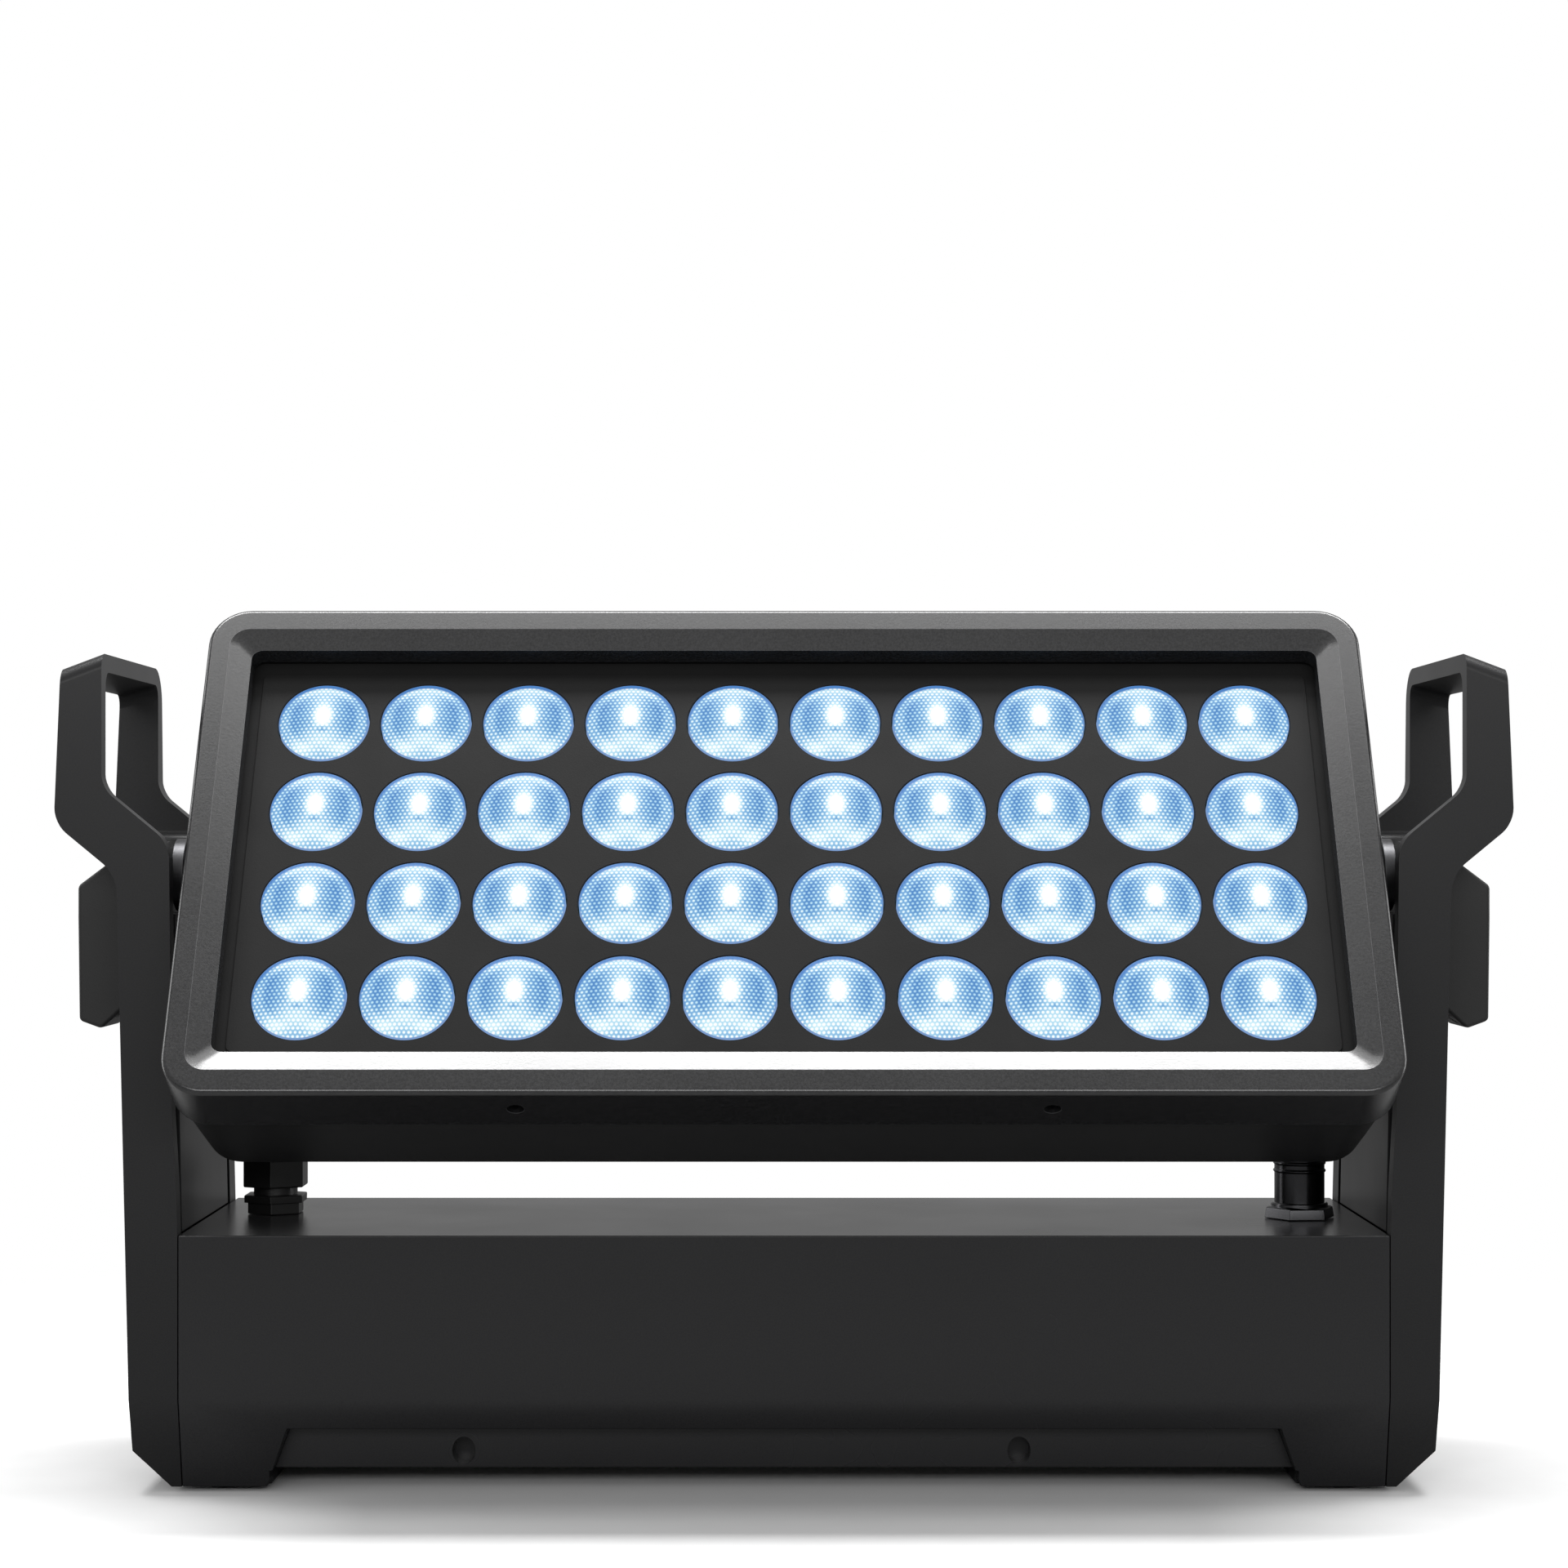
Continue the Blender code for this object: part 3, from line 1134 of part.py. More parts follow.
def display_window():
    plate_y = PANEL_FACE_Y + FIT
    low = plate_y + DISPLAY_POCKET_FLOOR + FIT
    high = plate_y + CONTROL_THICKNESS - DISPLAY_SUNK
    half_x = DISPLAY_WIDTH / 2 - FIT
    half_z = DISPLAY_HEIGHT / 2 - FIT
    outline = rounded_rectangle(half_x, half_z, 1 * MM, steps=2, centre=(DISPLAY_X, PANEL_MID_Z))
    add_piece("display_window", prism(outline, "Y", low, high), display_plastic())


def buttons():
    """Menu buttons that run through the plate and the panel."""
    low = REAR_FACE_Y - 1 * MM
    high = PANEL_FACE_Y + FIT + CONTROL_THICKNESS + BUTTON_PROUD
    for index, (x, z) in enumerate(button_places()):
        length = high - low
        profile = [(0, length), (BUTTON_RADIUS - 0.8 * MM, length), (BUTTON_RADIUS, length - 0.8 * MM),
                   (BUTTON_RADIUS, 0), (0, 0)]
        button = turned("menu_button_%d" % (index + 1), profile, black_plastic(), steps=12)
        place(button, (x, low, z), "Y")


def connector(index, name):
    """Chassis connector: square flange and a round barrel with a deep socket."""
    x, z = connector_places()[index]
    half = CONNECTOR_FLANGE / 2
    low = PANEL_FACE_Y + FIT
    outline = rounded_rectangle(half, half, 4 * MM, steps=2, centre=(x, z))
    piece = add_piece(name, prism(outline, "Y", low, low + CONNECTOR_FLANGE_DEPTH), black_plastic())
    reach = CONNECTOR_REACH
    radius = CONNECTOR_RADIUS
    profile = [(0, reach), (radius - 1 * MM, reach), (radius, reach - 1 * MM), (radius, 1 * MM), (0, 1 * MM)]
    barrel = turned("barrel_%d" % index, profile, black_plastic(), steps=14, tool=True)
    place(barrel, (x, low, z), "Y")
    combine(piece, barrel, "UNION")
    floor = reach - CONNECTOR_SOCKET_DEPTH
    socket = cylinder(CONNECTOR_SOCKET_RADIUS, floor, reach + 1 * MM, "socket_%d" % index, 12)
    place(socket, (x, low, z), "Y")
    combine(piece, socket)


def control_board():
    """Printed board behind the menu, carried on four pillars from the rear panel."""
    half_x = CONTROL_WIDTH / 2 - CONTROL_BOARD_MARGIN
    half_z = CONTROL_HEIGHT / 2 - CONTROL_BOARD_EDGE
    high = REAR_FACE_Y - PILLAR_HEIGHT
    form = block((CONTROL_X - half_x, high - BOARD_THICKNESS, PANEL_MID_Z - half_z),
                 (CONTROL_X + half_x, high, PANEL_MID_Z + half_z))
    board = add_piece("control_board", form, board_laminate())
    pillars = bmesh.new()
    low = high - 0.5 * MM
    top = REAR_FACE_Y - FIT
    size = (PILLAR_SIZE, top - low, PILLAR_SIZE)
    for x in (-half_x + PILLAR_SIZE, half_x - PILLAR_SIZE):
        for z in (-half_z + PILLAR_SIZE, half_z - PILLAR_SIZE):
            add_block(pillars, size, (CONTROL_X + x, (low + top) / 2, PANEL_MID_Z + z))
    combine(board, add_tool("board_pillars", pillars), "UNION")


def power_supply():
    """Potted supply that stands on the base's floor."""
    low = UNDERSIDE + BASE_WALL + FIT
    centre = (SUPPLY_X, SUPPLY_Y)
    outline = rounded_rectangle(SUPPLY_LENGTH / 2, SUPPLY_WIDTH / 2, 4 * MM, steps=2, centre=centre)
    add_piece("power_supply", prism(outline, "Z", low, low + SUPPLY_HEIGHT), bare_aluminium())


def bracket_pad(side, name):
    """Steel pad under the base with two holes for a clamp bracket."""
    high = UNDERSIDE - FIT
    x = side * PAD_SPACING / 2
    y = BASE_BACK - BASE_DEPTH / 2
    outline = rounded_rectangle(PAD_LENGTH / 2, PAD_WIDTH / 2, 5 * MM, steps=2, centre=(x, y))
    pad = add_piece("bracket_pad_" + name, prism(outline, "Z", high - PAD_THICKNESS, high), zinc_steel())
    holes = bmesh.new()
    for offset in (-PAD_HOLE_SPACING / 2, PAD_HOLE_SPACING / 2):
        add_cylinder(holes, PAD_HOLE_RADIUS, PAD_THICKNESS * 5, (x + offset, y, high))
    combine(pad, add_tool("pad_holes_" + name, holes))


def build_head(head):
    bezel_frame(head)
    gasket(head)
    lens_mask(head)
    for row in range(LENS_ROWS):
        lens_strip(head, row)
    led_board(head)
    heatsink(head)
    rear_housing(head)
    rear_cover(head)
    fans(head)
    vent_plug(head)
    hub(1, "right", head)
    hub(-1, "left", head)


def build_base():
    base_housing()
    rubber_feet()
    gland_left()
    gland_right()
    rear_panel()
    control_plate()
    display_window()
    buttons()
    for index, name in enumerate(("power_inlet", "power_outlet", "data_inlet", "data_outlet")):
        connector(index, name)
    control_board()
    power_supply()
    for side, name in ((1, "right"), (-1, "left")):
        bracket_pad(side, name)
        arm(side, name)
        arm_cover(side, name)
        washer(side, name)
        pivot_bolt(side, name)
        lever_pin(side, name)
        lever(side, name)


def main():
    clear_scene()
    head = bpy.data.objects.new("head_pivot", None)
    head.location = (0.0, 0.0, PIVOT_Z)
    head.rotation_euler = (-TILT_REST, 0.0, 0.0)
    MODEL.objects.link(head)
    build_head(head)
    build_base()


main()
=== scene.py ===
# %% [markdown]
# # LED wash light
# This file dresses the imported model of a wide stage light: a framed head with forty lit lenses that tilts
# between two arms on a long floor base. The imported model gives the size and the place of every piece. Each
# step below says what a piece is on the real light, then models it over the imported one, and gives it a
# finish.

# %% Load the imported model
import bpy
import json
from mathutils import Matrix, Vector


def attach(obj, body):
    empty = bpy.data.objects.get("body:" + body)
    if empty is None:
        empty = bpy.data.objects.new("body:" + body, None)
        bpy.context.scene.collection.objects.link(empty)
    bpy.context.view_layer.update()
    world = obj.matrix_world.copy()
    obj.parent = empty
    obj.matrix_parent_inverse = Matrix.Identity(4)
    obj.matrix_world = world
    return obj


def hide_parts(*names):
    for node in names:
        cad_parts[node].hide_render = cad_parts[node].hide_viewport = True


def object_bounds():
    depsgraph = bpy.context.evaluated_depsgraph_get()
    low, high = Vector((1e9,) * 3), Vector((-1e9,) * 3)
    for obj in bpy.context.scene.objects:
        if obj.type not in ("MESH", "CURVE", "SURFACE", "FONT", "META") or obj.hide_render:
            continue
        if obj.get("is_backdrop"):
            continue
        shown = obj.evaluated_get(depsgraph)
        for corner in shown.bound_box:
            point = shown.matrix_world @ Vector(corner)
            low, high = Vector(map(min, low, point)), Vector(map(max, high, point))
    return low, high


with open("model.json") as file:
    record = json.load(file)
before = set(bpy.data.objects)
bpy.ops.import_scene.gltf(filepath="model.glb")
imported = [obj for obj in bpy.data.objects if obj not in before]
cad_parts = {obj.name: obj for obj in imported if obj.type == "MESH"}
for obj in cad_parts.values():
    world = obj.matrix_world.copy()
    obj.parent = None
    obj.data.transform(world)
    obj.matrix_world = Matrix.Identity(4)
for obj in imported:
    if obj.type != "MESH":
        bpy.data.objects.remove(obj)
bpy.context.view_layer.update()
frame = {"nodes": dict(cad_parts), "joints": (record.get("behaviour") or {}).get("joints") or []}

# %% [markdown]
# ## Helpers for modelling
# Each piece is modelled as by hand: a primitive is added, faces or edges are picked by their place, and an
# edit-mode tool changes them. An operator acts on all that is selected, so everything is deselected before
# each new piece.

# %% Imports and units
import json
import math

import bmesh
import bpy
from mathutils import Matrix, Vector

MM = 0.001


def deselect():
    if bpy.context.mode != "OBJECT":
        bpy.ops.object.mode_set(mode="OBJECT")
    bpy.ops.object.select_all(action="DESELECT")


def activate(piece):
    deselect()
    piece.select_set(True)
    bpy.context.view_layer.objects.active = piece


def bake_place(piece):
    """Takes the object's place, turn and scale into its mesh, so that the object itself has none."""
    activate(piece)
    bpy.ops.object.transform_apply(location=True, rotation=True, scale=True)


def face_outward(piece):
    activate(piece)
    bpy.ops.object.mode_set(mode="EDIT")
    bpy.ops.mesh.select_all(action="SELECT")
    bpy.ops.mesh.normals_make_consistent(inside=False)
    bpy.ops.object.mode_set(mode="OBJECT")


print("modelling unit: 1 mm =", MM, "m")


# %% [markdown]
# A box between two corners and a round piece that is pushed up step by step are the two starts that most
# pieces need. The round piece is a filled circle that is extruded and scaled from one (radius, height) to the
# next.

# %% Starting shapes
def box(name, low, high):
    deselect()
    low, high = Vector(low) * MM, Vector(high) * MM
    bpy.ops.mesh.primitive_cube_add(size=1, location=(low + high) / 2)
    piece = bpy.context.active_object
    piece.name = name
    piece.scale = high - low
    bake_place(piece)
    return piece


def turned(name, profile, sides=64):
    deselect()
    radius, height = profile[0]
    bpy.ops.mesh.primitive_circle_add(vertices=sides, radius=radius * MM, fill_type="NGON",
                                      location=(0, 0, height * MM))
    piece = bpy.context.active_object
    piece.name = name
    bake_place(piece)
    bpy.ops.object.mode_set(mode="EDIT")
    bpy.ops.mesh.select_all(action="SELECT")
    for next_radius, next_height in profile[1:]:
        step = (0, 0, (next_height - height) * MM)
        bpy.ops.mesh.extrude_region_move(TRANSFORM_OT_translate={"value": step})
        factor = next_radius / radius
        bpy.ops.transform.resize(value=(factor, factor, 1))
        radius, height = next_radius, next_height
    face_outward(piece)
    return piece


print("starting shapes: box and turned")


# %% [markdown]
# Faces, edges and corners are picked by a test on their place or direction, in edit mode.

# %% Picking
def pick(piece, kind, test):
    """Goes into edit mode and selects the faces, edges or verts for which the test is true."""
    if bpy.context.mode != "EDIT_MESH":
        activate(piece)
        bpy.ops.object.mode_set(mode="EDIT")
    bpy.ops.mesh.select_mode(type=kind)
    bpy.ops.mesh.select_all(action="DESELECT")
    form = bmesh.from_edit_mesh(piece.data)
    items = {"FACE": form.faces, "EDGE": form.edges, "VERT": form.verts}[kind]
    chosen = [item for item in items if test(item)]
    for item in chosen:
        item.select_set(True)
    if kind == "VERT":
        form.select_flush(True)
    bmesh.update_edit_mesh(piece.data)


def centre(item):
    return sum((v.co for v in item.verts), Vector()) / len(item.verts) / MM


def along(edge, axis):
    span = (edge.verts[1].co - edge.verts[0].co).normalized()
    return abs(span["XYZ".index(axis)]) > 0.9


def facing(face, axis, sign):
    return face.normal["XYZ".index(axis)] * sign > 0.9


def round_edges(piece, test, radius, segments):
    pick(piece, "EDGE", test)
    bpy.ops.mesh.bevel(offset=radius * MM, segments=segments, affect="EDGES")
    bpy.ops.object.mode_set(mode="OBJECT")


print("picking: faces, edges and corners by place")


# %% [markdown]
# Modifiers are applied at once, so that a finished piece is plain mesh. A cutting tool is deleted after its
# cut. What repeats is modelled once and copied, each copy with its own mesh, and copies that make one piece
# are joined.

# %% Modifiers
def modify(piece, kind, **settings):
    modifier = piece.modifiers.new(kind.title(), kind)
    for name, value in settings.items():
        setattr(modifier, name, value)
    activate(piece)
    bpy.ops.object.modifier_apply(modifier=modifier.name)


def combine(piece, tool, operation="DIFFERENCE"):
    modify(piece, "BOOLEAN", object=tool, operation=operation, solver="EXACT")
    bpy.data.objects.remove(tool, do_unlink=True)


def soften(piece, width, segments=3, angle=30, **more):
    """Rounds every edge that is sharper than the angle, as casting and moulding do."""
    modify(piece, "BEVEL", width=width * MM, segments=segments, limit_method="ANGLE",
           angle_limit=math.radians(angle), **more)


def copy_of(piece, name):
    twin = piece.copy()
    twin.data = piece.data.copy()
    twin.name = name
    bpy.context.scene.collection.objects.link(twin)
    return twin


def join(pieces):
    activate(pieces[0])
    for piece in pieces:
        piece.select_set(True)
    bpy.ops.object.join()
    return pieces[0]


print("modifiers: applied as soon as they are set")


# %% [markdown]
# ## Where the head is
# The head is tilted in the photograph. It is modelled upright about its tilt axis, facing -Y, and turned into
# place at the end with one matrix. A finished piece keeps its place in its mesh, and its object sits at the
# origin. Weighted normals keep its large faces flat beside their rounded edges.

# %% Finishing a piece
REST_TILT = 31.75
PIVOT = Vector(next(joint for joint in frame["joints"] if joint["name"] == "head_tilt")["pos_m"])
HEAD = Matrix.Translation(PIVOT) @ Matrix.Rotation(math.radians(-REST_TILT), 4, "X")
AXES = {"X": (0, 90, 0), "-X": (0, -90, 0), "Y": (-90, 0, 0), "-Y": (90, 0, 0), "Z": (0, 0, 0)}


def aim(piece, towards, at):
    """Turns a piece whose top is +Z towards an axis, and puts its origin at a point given in mm."""
    piece.rotation_euler = [math.radians(angle) for angle in AXES[towards]]
    piece.location = Vector(at) * MM
    bake_place(piece)
    return piece


def mirrored(piece, name):
    twin = copy_of(piece, name)
    twin.scale.x = -1
    bake_place(twin)
    face_outward(twin)
    return twin


def finish(piece, body, material, nodes=(), in_head=False):
    """Puts a piece in place, hangs it on what it rides on, hides what it stands for and gives it its finish.
    """
    activate(piece)
    if in_head:
        piece.matrix_world = HEAD @ piece.matrix_world
        bake_place(piece)
    bpy.ops.object.shade_smooth_by_angle(angle=math.radians(30))
    modify(piece, "WEIGHTED_NORMAL", keep_sharp=True)
    if not piece.data.materials:
        piece.data.materials.append(material)
    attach(piece, body)
    if nodes:
        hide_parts(*nodes)
    print(piece.name, len(piece.data.polygons), "faces")


print("tilt axis at", [round(v / MM, 1) for v in PIVOT], "mm")


# %% [markdown]
# ## Helpers for materials
# Colours are written as sRGB hex values, as a colour picker shows them, and turned to linear in one place.
# One small function adds a node, sets its sockets and links its inputs. Every finish ends in the same way: a
# texture blends two tones, one varies the roughness, and one gives the relief.

# %% Colour and node helpers
# Settings that many nodes share
RGBA = {"data_type": "RGBA"}
SMOOTH = {"interpolation_type": "SMOOTHSTEP"}


def linear(text):
    channels = [int(text[k:k + 2], 16) / 255 for k in (1, 3, 5)]
    return tuple(c / 12.92 if c <= 0.04045 else ((c + 0.055) / 1.055) ** 2.4 for c in channels) + (1.0,)


def node(tree, kind, settings=None, **inputs):
    """Adds a node. Settings are its properties. Inputs are numbers, colours or other nodes' outputs, and each
    goes by its socket's name, or by an underscore and its number where sockets share a name."""
    made = tree.nodes.new(kind)
    for name, value in (settings or {}).items():
        setattr(made, name, value)
    for name, value in inputs.items():
        socket = made.inputs[int(name[1:])] if name[1:].isdigit() else made.inputs[name.replace("_", " ")]
        if isinstance(value, bpy.types.NodeSocket):
            tree.links.new(value, socket)
        else:
            socket.default_value = value
    return made


def new_material(name):
    material = bpy.data.materials.new(name)
    material.use_nodes = True
    tree = material.node_tree
    tree.nodes.clear()
    shader = node(tree, "ShaderNodeBsdfPrincipled")
    node(tree, "ShaderNodeOutputMaterial", Surface=shader.outputs[0])
    return material, tree, shader


def per_metre(size_in_mm):
    """The scale at which a noise texture's grains have this size."""
    return 1.0 / (size_in_mm * MM)


def add_grain(tree, shader, tones, blend, roughness, swing, wear, bump, depth, relief):
    """Colour between two tones, roughness about its middle and a fine bump, each led by its own texture."""
    dark, light = tones
    tint = node(tree, "ShaderNodeMix", RGBA, _0=blend, _6=linear(dark), _7=linear(light))
    rough = node(tree, "ShaderNodeMapRange", Value=wear, To_Min=roughness - swing, To_Max=roughness + swing)
    bumps = node(tree, "ShaderNodeBump", Strength=bump, Distance=depth * MM, Height=relief)
    tree.links.new(tint.outputs[2], shader.inputs["Base Color"])
    tree.links.new(rough.outputs[0], shader.inputs["Roughness"])
    tree.links.new(bumps.outputs[0], shader.inputs["Normal"])


print("hex #808080 is", round(linear("#808080")[0], 3), "linear")


# %% [markdown]
# ## Finishes
# Nearly all of the light is cast aluminium with a powder coat. The powder is sprayed on dry and baked, and
# leaves a fine orange peel with small pits. Colour, roughness and bump each get a noise of the size of that
# grain, and a wide soft noise gives the handling marks that keep large faces from looking flat. The edges of
# the arms and the frame get a lighter, glossier coat of their own: a painted highlight along the edges.

# %% Powder coats
def powder_coat(name, dark, light, grain, roughness, bump, speckle=0.5, gloss=0.5):
    material, tree, shader = new_material(name)
    place = node(tree, "ShaderNodeTexCoord").outputs["Object"]
    fine = node(tree, "ShaderNodeTexNoise", Vector=place, Scale=per_metre(grain), Detail=3.0, Roughness=0.6)
    broad = node(tree, "ShaderNodeTexNoise", Vector=place, Scale=per_metre(60), Detail=2.0)
    spread = node(tree, "ShaderNodeMapRange", Value=fine.outputs[0], From_Min=0.5 - speckle / 2,
                  From_Max=0.5 + speckle / 2)
    add_grain(tree, shader, (dark, light), blend=spread.outputs[0], roughness=roughness, swing=0.05,
              wear=broad.outputs[0], bump=bump, depth=0.1, relief=fine.outputs[0])
    shader.inputs["Specular IOR Level"].default_value = gloss
    return material


black_coat = powder_coat("black_powder_coat_fine", "#232324", "#2c2c2d", 0.5, 0.36, 0.15)
arm_coat = powder_coat("black_powder_coat_arms", "#212122", "#2b2b2c", 0.6, 0.36, 0.08, gloss=0.35)
base_coat = powder_coat("black_powder_coat_satin", "#222224", "#2b2b2c", 0.6, 0.26, 0.08)
bezel_coat = powder_coat("grey_powder_coat_speckled", "#0f0f10", "#29292a", 0.9, 0.24, 0.26, 0.3, 1.0)
# The last two are lighter, glossier coats for the bevels: a painted highlight along the edges of the arms and
# the frame.
arm_edge_highlight = powder_coat("black_powder_coat_painted_edge_highlight", "#3c3c3d", "#4a4a4b", 0.6, 0.18, 0.05)
bezel_edge_highlight = powder_coat("grey_powder_coat_painted_edge_highlight", "#5a5a5b", "#6a6a6b", 0.9, 0.24, 0.2)
for made in (black_coat, arm_coat, base_coat, bezel_coat, arm_edge_highlight, bezel_edge_highlight):
    print("powder coat:", made.name)


# %% [markdown]
# The lens mask, the levers and the rear fittings are glass-filled nylon mouldings: nearly black, dull, with
# the faint grain that the mould was etched with. Feet and gaskets are EPDM rubber, duller still.

# %% Mouldings and rubber
def moulding(name, dark, light, grain, roughness, bump, gloss=0.5):
    material, tree, shader = new_material(name)
    place = node(tree, "ShaderNodeTexCoord").outputs["Object"]
    etch = node(tree, "ShaderNodeTexVoronoi", Vector=place, Scale=per_metre(grain))
    cloud = node(tree, "ShaderNodeTexNoise", Vector=place, Scale=per_metre(25), Detail=4.0)
    add_grain(tree, shader, (dark, light), blend=cloud.outputs[0], roughness=roughness, swing=0.06,
              wear=cloud.outputs[0], bump=bump, depth=0.05, relief=etch.outputs[0])
    shader.inputs["Specular IOR Level"].default_value = gloss
    return material


mask_nylon = moulding("nylon_mask_etched", "#232323", "#282828", 0.8, 0.42, 0.3, 0.1)
lever_nylon = moulding("nylon_moulded_black", "#252525", "#2e2e2e", 0.7, 0.5, 0.3)
gland_nylon = moulding("nylon_gland_black", "#181818", "#202020", 0.6, 0.36, 0.15)
rubber = moulding("epdm_rubber_moulded", "#121212", "#1c1c1c", 1.5, 0.85, 0.4)
menu_window = moulding("acrylic_window_smoked", "#0c0f12", "#14181c", 3.0, 0.12, 0.02)
board_mask = moulding("board_solder_mask_green", "#0f3d22", "#1a5230", 4.0, 0.4, 0.2)
for made in (mask_nylon, lever_nylon, gland_nylon, rubber, menu_window, board_mask):
    print("moulding:", made.name)


# %% [markdown]
# Bare metal shows in few places: turned aluminium hubs, black and plain nickel on the right cable gland, zinc
# on bolts and pads. A lathe or a plating bath leaves fine streaks, which change the roughness more than the
# colour.

# %% Metals
def metal(name, dark, light, streak, roughness, bump):
    material, tree, shader = new_material(name)
    place = node(tree, "ShaderNodeTexCoord").outputs["Object"]
    stretched = node(tree, "ShaderNodeMapping", Vector=place, Scale=(6.0, 1.0, 1.0))
    streaks = node(tree, "ShaderNodeTexNoise", Vector=stretched.outputs[0], Scale=per_metre(streak),
                   Detail=4.0)
    add_grain(tree, shader, (dark, light), blend=streaks.outputs[0], roughness=roughness, swing=0.08,
              wear=streaks.outputs[0], bump=bump, depth=0.02, relief=streaks.outputs[0])
    shader.inputs["Metallic"].default_value = 1.0
    return material


hub_aluminium = metal("aluminium_turned", "#5a5a5c", "#6c6c6e", 2.0, 0.42, 0.3)
sink_aluminium = metal("aluminium_extruded", "#7c7c7c", "#989898", 8.0, 0.45, 0.3)
gland_black = metal("black_nickel_plated_brass", "#3a3a3c", "#4c4c4e", 2.0, 0.22, 0.2)
gland_nickel = metal("nickel_plated_brass", "#434345", "#555557", 2.0, 0.24, 0.2)
zinc_steel = metal("steel_zinc_plated", "#8a8a86", "#a6a6a0", 5.0, 0.35, 0.3)
for made in (hub_aluminium, sink_aluminium, gland_black, gland_nickel, zinc_steel):
    print("metal:", made.name)


# %% [markdown]
# The lenses are clear acrylic with a honeycomb of tiny domes on the face, lit from behind by a blue-white
# source. What the eye sees is light, so the colour goes into the emission. Each lens has its own round UV
# map, with the middle of the lens at (0.5, 0.5), so the pattern is the same on all forty: a white core just
# above the middle, a bright fan below it, bluer fields at both sides, a dark crescent at the top and a thin
# violet rim. The honeycomb is the sum of three cosines, 60 degrees apart. Its cells are 0.9 mm on the real
# lens and are drawn 1.85 mm, because finer ones vanish in the picture. The light is built as one number for
# each point of the face, from the honeycomb and the soft spots to the fans and the ring, and a colour ramp
# turns it to blue, pale blue and white.

# %% Lit lens: measures on the lens face
lens, tree, shader = new_material("acrylic_lens_lit")
LENS_RADIUS = 18.4
HONEYCOMB = 1.85
uv = node(tree, "ShaderNodeUVMap", {"uv_map": "lens_face"})
face = node(tree, "ShaderNodeMapping", Vector=uv.outputs[0], Location=(-1.0, -1.0, 0.0),
            Scale=(2.0, 2.0, 1.0))
from_middle = node(tree, "ShaderNodeVectorMath", {"operation": "LENGTH"}, _0=face.outputs[0]).outputs["Value"]


def spot(x, y, wide, high, power):
    """A soft spot on the lens face: its power in its middle, falling to 0 at its width and height."""
    shifted = node(tree, "ShaderNodeMapping", Vector=face.outputs[0], Location=(-x / wide, -y / high, 0.0),
                   Scale=(1 / wide, 1 / high, 1.0))
    ball = node(tree, "ShaderNodeTexGradient", {"gradient_type": "SPHERICAL"}, Vector=shifted.outputs[0])
    return node(tree, "ShaderNodeMapRange", SMOOTH, Value=ball.outputs[1], To_Max=power)


print("lens face: honeycomb cells", HONEYCOMB, "mm, lens radius", LENS_RADIUS, "mm")

# %% Lit lens: honeycomb
honeycomb = 0.0
turns = 2 * math.pi * LENS_RADIUS / (HONEYCOMB * math.cos(math.pi / 6))
for degrees in (30, 90, 150):
    angle = math.radians(degrees)
    direction = (math.cos(angle), math.sin(angle), 0.0)
    distance = node(tree, "ShaderNodeVectorMath", {"operation": "DOT_PRODUCT"}, _0=face.outputs[0],
                    _1=direction)
    phase = node(tree, "ShaderNodeMath", {"operation": "MULTIPLY"}, _0=distance.outputs["Value"], _1=turns)
    wave = node(tree, "ShaderNodeMath", {"operation": "COSINE"}, _0=phase.outputs[0])
    total = node(tree, "ShaderNodeMath", {"operation": "ADD"}, _0=wave.outputs[0], _1=honeycomb)
    honeycomb = total.outputs[0]
cells = node(tree, "ShaderNodeMapRange", SMOOTH, Value=honeycomb, From_Min=-1.3, From_Max=2.4,
             To_Min=-0.22, To_Max=0.33)
print("honeycomb of three crossed waves")

# %% Lit lens: soft spots
# Each spot is x, y, width, height and power. Places and widths are shares of the lens radius.
spots = {
    "core": (0.0, 0.08, 0.33, 0.46, 0.8),
    "glow round the core": (0.0, 0.08, 0.62, 0.7, 0.26),
    "upper glow": (0.0, 0.62, 0.36, 0.42, 0.1),
    "darker upper left": (-0.65, 0.5, 0.55, 0.5, -0.14),
    "darker upper right": (0.65, 0.5, 0.55, 0.5, -0.14),
    "lower fan": (0.0, -0.6, 1.0, 0.6, 0.3),
    "dark foot": (0.0, -0.88, 0.6, 0.28, -0.36),
    "dark patch under the core": (0.0, -0.27, 0.2, 0.13, -0.35),
}
light = cells.outputs[0]
for measures in spots.values():
    glow = spot(*measures)
    light = node(tree, "ShaderNodeMath", {"operation": "ADD"}, _0=glow.outputs[0], _1=light).outputs[0]
print("soft spots:", ", ".join(spots))

# %% Lit lens: two fans and a bright ring
parts = node(tree, "ShaderNodeSeparateXYZ", Vector=face.outputs[0])
across = node(tree, "ShaderNodeMath", {"operation": "MULTIPLY"}, _0=parts.outputs[0], _1=parts.outputs[0])
upward = node(tree, "ShaderNodeMath", {"operation": "MULTIPLY"}, _0=parts.outputs[1], _1=parts.outputs[1])
sector = node(tree, "ShaderNodeMath", {"operation": "SUBTRACT"}, _0=upward.outputs[0], _1=across.outputs[0])
fans = node(tree, "ShaderNodeMapRange", SMOOTH, Value=sector.outputs[0], From_Min=-0.45, From_Max=0.4,
            To_Min=0.3, To_Max=0.6)
ring = node(tree, "ShaderNodeMapRange", SMOOTH, Value=from_middle, From_Min=0.66, From_Max=0.82, To_Max=0.23)
light = node(tree, "ShaderNodeMath", {"operation": "ADD"}, _0=fans.outputs[0], _1=light)
light = node(tree, "ShaderNodeMath", {"operation": "ADD"}, _0=light.outputs[0], _1=ring.outputs[0])
print("lens light from the honeycomb,", len(spots), "spots, two fans and a ring")

